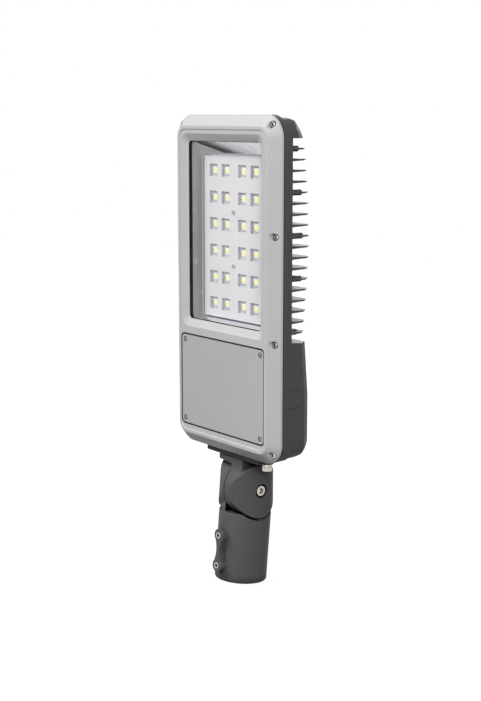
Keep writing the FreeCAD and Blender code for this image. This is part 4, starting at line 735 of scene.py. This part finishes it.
class LAMP_OT_leds(bpy.types.Operator):
    """Finish the board, the LEDs and their domes"""
    bl_idname = "lamp.leds"
    bl_label = "LEDs"

    def execute(self, context):
        # The board and the ceramic bases get painted light: an emission that brightens them inside the
        # window
        dress("led_board", moulded("solder mask white", MASK_WHITE, roughness=0.35, glow=0.08))
        ceramic = moulded("ceramic white", CERAMIC_WHITE, roughness=0.30, glow=0.30)
        piece("led_bases", led_bases(), ceramic, "head", ("led_packages",))
        gel = phosphor_gel("phosphor yellow", PHOSPHOR_YELLOW)
        piece("led_gel_discs", led_gels(), gel, "head", ("led_phosphors",))
        silicone = clear_dome("lens silicone", SILICONE)
        piece("led_domes", led_domes(), silicone, "head", ("led_lenses",))
        dress("board_connector", moulded("connector white", grey(0.7), roughness=0.4))
        return {"FINISHED"}


def led_bases():
    """Ceramic bases: square, with broken upright corners and an eased rim."""
    form = bmesh.new()
    bmesh.ops.create_cube(form, size=1.0)
    bmesh.ops.scale(form, vec=(PACKAGE * MM, PACKAGE * MM, PACKAGE_HEIGHT * MM), verts=form.verts)
    upright = [edge for edge in form.edges if edge.verts[0].co.z * edge.verts[1].co.z < 0.0]
    bmesh.ops.bevel(form, geom=upright, offset=PACKAGE_CORNER * MM, segments=3, profile=0.5, affect="EDGES",
                    material=-1)
    top = max(form.faces, key=lambda face: face.calc_center_median().z)
    bmesh.ops.inset_region(form, faces=[top], thickness=PACKAGE_RIM * MM, depth=0.0)
    lip = [edge for edge in form.edges if all(vert.co.z > 0.0 for vert in edge.verts)]
    bmesh.ops.bevel(form, geom=lip, offset=PACKAGE_EASE * MM, segments=1, profile=0.5, affect="EDGES",
                    material=-1)
    return gathered(form, led_places(BOARD_FRONT - PACKAGE_HEIGHT / 2))


def led_places(depth):
    """Where the LEDs stand, at one depth."""
    return [standing(head_point(x, depth, LED_TOP - LED_PITCH * row), FORWARD)
            for row in range(LED_ROWS) for x in LED_ACROSS]


def led_gels():
    """Discs of phosphor gel, a little crowned and rounded at the rim."""
    r, tall = PHOSPHOR_R, PHOSPHOR_HEIGHT
    crown = [(r, tall * 0.5), (r * 0.93, tall * 0.85), (r * 0.6, tall), (0.0, tall * 1.05)]
    form = spun([(0.0, 0.0), (r, 0.0)] + crown, steps=20)
    return gathered(form, led_places(BOARD_FRONT - PACKAGE_HEIGHT))


def led_domes():
    """Clear domes over the LEDs: a foot ring, then an even wall that closes at the top."""
    arc = [(math.cos(math.radians(angle)), math.sin(math.radians(angle))) for angle in range(0, 90, 10)]
    rise, wall, rim = DOME_HEIGHT - DOME_FOOT, DOME_WALL, DOME_R + DOME_FOOT_RIM
    profile = [(rim, 0.0), (rim, 0.5), (DOME_R, 0.7)]
    profile += [(DOME_R * c, DOME_FOOT + rise * s) for c, s in arc]
    profile += [(0.0, DOME_HEIGHT), (0.0, DOME_HEIGHT - wall)]
    profile += [((DOME_R - wall) * c, DOME_FOOT + (rise - wall) * s) for c, s in reversed(arc)]
    profile += [(DOME_R - wall, 0.0)]
    return gathered(spun(profile, closed=True), led_places(BOARD_FRONT))


def socket_screw(shank_r, shank, head_r, head, recess, deep):
    """Round-headed screw with a hex recess, its seat at the origin and its head towards +Z."""
    tip = 0.6
    ring = recess / 2 + RECESS_SLACK
    lip = recess / 2 + 0.22
    brink = head - 0.12
    floor = head - deep
    form = spun([(0.0, -shank), (shank_r * 0.82, -shank), (shank_r, -shank + tip), (shank_r, 0.0),
                 (head_r, 0.0), (head_r, head * 0.72), (head_r * 0.965, head * 0.88), (head_r * 0.87, head),
                 (lip, head), (ring, brink), (ring, floor), (0.0, floor - ring * 0.3)])
    return make_hex(form, ring, recess, (floor, brink))


def hex_bolt(shank_r, shank, across, head):
    """Hex bolt with a chamfered head towards +Z, its seat at the origin."""
    tip = 0.8
    ring = across / 2 + HEX_SLACK
    low, high = 0.35, head - 0.35
    form = spun([(0.0, -shank), (shank_r * 0.85, -shank), (shank_r, -shank + tip), (shank_r, 0.0),
                 (across * 0.46, 0.0), (ring, low), (ring, high), (across * 0.47, head), (0.0, head)])
    return make_hex(form, ring, across, (low, high), fall=0.55)


def hex_nut(bore, across, tall):
    """Hex nut from the origin towards +Z."""
    lead = 0.7
    ring = across / 2 + HEX_SLACK
    low, high = 0.3, tall - 0.3
    form = spun([(bore, lead), (bore + lead, 0.0), (across * 0.46, 0.0), (ring, low), (ring, high),
                 (across * 0.46, tall), (bore + lead, tall), (bore, tall - lead)], closed=True)
    return make_hex(form, ring, across, (low, high))


def plain_washer(bore, outside, thick):
    """Flat washer with broken edges, from the origin towards +Z."""
    ease = 0.25
    return spun([(bore, ease), (bore + ease, 0.0), (outside - ease, 0.0), (outside, ease),
                 (outside, thick - ease), (outside - ease, thick), (bore + ease, thick),
                 (bore, thick - ease)], closed=True, steps=32)


def split_washer(bore, outside, thick):
    """Spring washer with its slit, from the origin towards +Z."""
    ease = 0.3
    gap = math.radians(9.0)
    return spun([(bore, 0.0), (outside - ease, 0.0), (outside, ease), (outside, thick - ease),
                 (outside - ease, thick), (bore, thick)], closed=True, steps=32,
                sweep=FULL_TURN - gap, start=gap / 2)


def countersunk_screw(shank_r, shank, head_r, recess):
    """Countersunk screw whose slightly crowned face is at the origin, towards +Z."""
    tip = 0.5
    cone, rim_low, rim_high, crown = -1.6, -0.35, -0.12, 0.05
    ring = recess / 2 + RECESS_SLACK
    brink, floor = -0.05, -0.95
    form = spun([(0.0, -shank), (shank_r, -shank + tip), (shank_r, cone), (head_r, rim_low),
                 (head_r, rim_high), (head_r * 0.93, 0.0), (ring + 0.2, crown), (ring, brink),
                 (ring, floor), (0.0, floor - 0.25)])
    return make_hex(form, ring, recess, (floor, brink))


def both_sides(places):
    """Each place and its mirror image across the head."""
    return [(side * x, z) for side in (-1, 1) for x, z in places]


def on_face(places, depth, first=0.0, step=0.0):
    """Matrices of screws driven in from the front, each turned a step further than the one before."""
    return [standing(head_point(x, depth, z), FORWARD, first + step * index)
            for index, (x, z) in enumerate(places)]


def under_flange(height, turn=0.0):
    """Matrices of what hangs from both bracket bolts' holes, at a height above the pivot."""
    x, y = BRACKET_BOLT
    return [standing(knuckle_point(side * x, y, height), DOWNWARD, turn) for side in (-1, 1)]


class LAMP_OT_fasteners(bpy.types.Operator):
    """Model the screws, bolts, washers and the nut"""
    bl_idname = "lamp.fasteners"
    bl_label = "Fasteners"

    def execute(self, context):
        steel = bright_steel("stainless", colour_of(context.scene.lamp_metal.steel), roughness=0.30)

        def fitted(name, node, form, matrices, body="head"):
            piece(name, gathered(form, matrices), steel, body, (node,))

        fitted("cap_screws", "frame_screws",
               socket_screw(shank_r=2.4, shank=13.6, head_r=3.8, head=2.9, recess=3.98, deep=1.75),
               on_face(both_sides(FRAME_SCREWS), FRAME_SCREW_SEAT, first=0.4, step=0.7))
        fitted("cover_plate_screws", "cover_screws",
               countersunk_screw(shank_r=1.6, shank=6.6, head_r=2.4, recess=2.4),
               on_face(both_sides(COVER_SCREWS), COVER_SCREW_FACE, first=0.3, step=0.5))
        # Black rings round the cover screws: painted shadow in the gap round each head
        rings = gathered(plain_washer(bore=2.35, outside=3.55, thick=0.5),
                         on_face(both_sides(COVER_SCREWS), COVER_SCREW_RING))
        piece("cover_screw_rings", rings, black_seal("screw ring", grey(0.01)), "head")
        fitted("plate_screws", "lens_plate_screws",
               socket_screw(shank_r=1.5, shank=5.0, head_r=2.8, head=1.8, recess=2.0, deep=1.0),
               on_face([(0.0, z) for z in LENS_PLATE_SCREWS], LENS_PLATE_FRONT))

        fitted("hex_bolts", "bracket_bolts", hex_bolt(shank_r=4.0, shank=25.2, across=13.0, head=6.2),
               under_flange(FLANGE_SEAT - FLAT_WASHER - SPRING_WASHER, turn=0.67))
        fitted("flat_washers", "bracket_washers", plain_washer(bore=4.3, outside=7.5, thick=FLAT_WASHER),
               under_flange(FLANGE_SEAT))
        fitted("split_washers", "spring_washers", split_washer(bore=4.2, outside=6.9, thick=SPRING_WASHER),
               under_flange(FLANGE_SEAT - FLAT_WASHER, turn=1.1))

        outward = Vector((1.0, 0.0, 0.0))
        height = PIVOT.z / MM
        fitted("pivot_cap_screw", "pivot_bolt",
               socket_screw(shank_r=5.0, shank=54.7, head_r=8.0, head=10.0, recess=8.0, deep=5.5),
               [standing(pole_point(PIVOT_SEAT, 0.0, height), outward, turn=0.26)], "pole_side")
        fitted("pivot_flat_washer", "pivot_washer", plain_washer(bore=5.1, outside=9.6, thick=PIVOT_WASHER),
               [standing(pole_point(PIVOT_SEAT - PIVOT_WASHER, 0.0, height), outward)], "pole_side")
        fitted("pivot_hex_nut", "pivot_nut", hex_nut(bore=5.03, across=17.0, tall=8.0),
               [standing(pole_point(NUT_SEAT, 0.0, height), -outward)], "pole_side")
        front = Vector((0.0, -1.0, 0.0))
        fitted("grub_screws", "set_screws",
               socket_screw(shank_r=4.98, shank=0.8, head_r=5.0, head=14.0, recess=5.0, deep=5.0),
               [standing(pole_point(0.0, SET_SCREW_START, z), front, turn=0.2)
                for z in SET_SCREW_HEIGHTS],
               "pole_side")

        for node in ("board_screws", "driver_screws"):
            dress(node, steel)
        dress("earth_screw", bright_steel("earth brass", BRASS, roughness=0.35))
        return {"FINISHED"}


class LAMP_OT_inside(bpy.types.Operator):
    """Finish what the driver compartment holds, and the vent"""
    bl_idname = "lamp.inside"
    bl_label = "Driver Compartment"

    def execute(self, context):
        black = moulded("black nylon", grey(0.02), roughness=0.5)
        dress("cable_gland", black)
        dress("breather_vent", black)
        dress("surge_protector", moulded("surge black", grey(0.03), roughness=0.4))
        dress("terminal_block", moulded("terminal cream", grey(0.66, warm=0.04), roughness=0.4))
        dress("led_lead", black_seal("lead sheath", grey(0.03)))
        dress("led_driver", mirror_sheet("driver case", DRIVER_CASE, roughness=0.4))
        return {"FINISHED"}


class LAMP_OT_stage(bpy.types.Operator):
    """Build the floor, the lamps, the world and the camera"""
    bl_idname = "lamp.stage"
    bl_label = "Stage"

    def execute(self, context):
        light = context.scene.lamp_light
        build_floor(light.floor_tone)
        build_world(light.ambient)
        for name, place, target, size, setting in LAMPS:
            area_lamp(name, place, target, size, getattr(light, setting))
        build_camera()
        context.scene.view_settings.view_transform = "Standard"
        return {"FINISHED"}


def seen_directly(finish):
    """1 for rays from the camera, and from gloss and glass, 0 for the rays that light things."""
    seen = finish.output("ShaderNodeLightPath", "Is Camera Ray")
    for kind in ("Is Glossy Ray", "Is Transmission Ray"):
        seen = seen.at_least(finish.output("ShaderNodeLightPath", kind))
    return seen


def build_floor(tone):
    """Round pale floor under the socket's mouth. The camera, gloss and glass see it near white."""
    mesh = bpy.data.meshes.new("floor")
    form = bmesh.new()
    bmesh.ops.create_circle(form, cap_ends=True, segments=96, radius=FLOOR_RADIUS)
    form.to_mesh(mesh)
    form.free()
    floor = bpy.data.objects.new("floor", mesh)
    bpy.context.scene.collection.objects.link(floor)
    finish = Finish("pale floor")
    plain = finish.node("ShaderNodeBsdfDiffuse", {}, {"Color": grey(tone)})[0]
    lit = finish.node("ShaderNodeBsdfDiffuse", {}, {"Color": grey(FLOOR_CATCH)})[0]
    away = finish.node("ShaderNodeVectorMath", {"operation": "LENGTH"}, {0: finish.place()})[-1]
    far = finish.ramp(away, FLOOR_NEAR, FLOOR_FAR)
    pale = finish.blend(far, grey(FLOOR_GLOW_NEAR), grey(FLOOR_GLOW_FAR))
    glow = finish.node("ShaderNodeEmission", {}, {"Color": pale, "Strength": 1.0})[0]
    shown = finish.node("ShaderNodeAddShader", {}, {0: lit, 1: glow})[0]
    both = finish.node("ShaderNodeMixShader", {}, {0: seen_directly(finish), 1: plain, 2: shown})[0]
    finish.node("ShaderNodeOutputMaterial", {}, {"Surface": both})
    mesh.materials.append(finish.made)


def build_world(ambient):
    """White to the camera, gloss and glass. All else gets a grey light from above, stronger in front."""
    finish = Finish("room", "worlds")
    direction = finish.output("ShaderNodeTexCoord", "Generated")
    _, along, height = finish.node("ShaderNodeSeparateXYZ", {}, {0: direction})
    light = ambient * finish.ramp(height, 0.0, ROOM_FULL_HEIGHT) * (1.0 - ROOM_FRONT_BIAS * along)
    room = finish.node("ShaderNodeBackground", {}, {"Color": grey(1.0), "Strength": light})[0]
    white = finish.node("ShaderNodeBackground", {}, {"Color": grey(1.0), "Strength": 1.0})[0]
    both = finish.node("ShaderNodeMixShader", {}, {0: seen_directly(finish), 1: room, 2: white})[0]
    finish.node("ShaderNodeOutputWorld", {}, {"Surface": both})
    bpy.context.scene.world = finish.made


def area_lamp(name, place, target, size, power):
    """Square soft lamp at a place, aimed at a target."""
    data = bpy.data.lights.new(name, "AREA")
    data.shape = "SQUARE"
    data.size = size
    data.energy = power
    lamp = bpy.data.objects.new(name, data)
    lamp.location = place
    lamp.rotation_mode = "QUATERNION"
    lamp.rotation_quaternion = (Vector(target) - Vector(place)).to_track_quat("-Z", "Y")
    bpy.context.scene.collection.objects.link(lamp)


def build_camera():
    """Camera at the photo's place."""
    yaw, pitch = CAMERA_YAW, CAMERA_PITCH
    right = Vector((math.cos(yaw), math.sin(yaw), 0.0))
    ahead = Vector((-math.sin(yaw) * math.cos(pitch), math.cos(yaw) * math.cos(pitch), -math.sin(pitch)))
    right, ahead = HEAD_TURN @ right, HEAD_TURN @ ahead
    up = right.cross(ahead)
    turn = Matrix((right, up, -ahead)).transposed().to_4x4()
    data = bpy.data.cameras.new("camera")
    data.sensor_width = SENSOR
    data.lens = CAMERA_FOCAL_PX * SENSOR / max(PHOTO_SIZE)
    data.clip_end = 50.0
    camera = bpy.data.objects.new("camera", data)
    camera.matrix_world = Matrix.Translation(CAMERA_PLACE) @ turn
    bpy.context.scene.collection.objects.link(camera)
    bpy.context.scene.camera = camera


class LAMP_PT_panel(bpy.types.Panel):
    """Shows the lamp's settings and steps"""
    bl_label = "Street Light Head"
    bl_idname = "LAMP_PT_panel"
    bl_space_type = "VIEW_3D"
    bl_region_type = "UI"
    bl_category = "Lamp"

    def draw(self, context):
        scene = context.scene
        for group in (scene.lamp_coats, scene.lamp_metal, scene.lamp_light):
            for name in group.__annotations__:
                self.layout.prop(group, name)
        for operator in OPERATORS:
            self.layout.operator(operator.bl_idname)


GROUPS = {"lamp_coats": LampCoats, "lamp_metal": LampMetal, "lamp_light": LampLight}
OPERATORS = (
    LAMP_OT_castings,
    LAMP_OT_front,
    LAMP_OT_window,
    LAMP_OT_leds,
    LAMP_OT_fasteners,
    LAMP_OT_inside,
    LAMP_OT_stage,
)


def register():
    """Add the classes and the scene's settings."""
    for group in GROUPS.values():
        bpy.utils.register_class(group)
    for operator in OPERATORS:
        bpy.utils.register_class(operator)
    bpy.utils.register_class(LAMP_PT_panel)
    for name, group in GROUPS.items():
        setattr(bpy.types.Scene, name, bpy.props.PointerProperty(type=group))


def unregister():
    """Take them away again."""
    for name in GROUPS:
        delattr(bpy.types.Scene, name)
    bpy.utils.unregister_class(LAMP_PT_panel)
    for operator in reversed(OPERATORS):
        bpy.utils.unregister_class(operator)
    for group in reversed(GROUPS.values()):
        bpy.utils.unregister_class(group)


def main():
    """Dress the lamp piece by piece."""
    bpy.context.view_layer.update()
    register()
    for operator in OPERATORS:
        name = operator.bl_idname.split(".")[1]
        getattr(bpy.ops.lamp, name)()


if __name__ == "__main__":
    main()
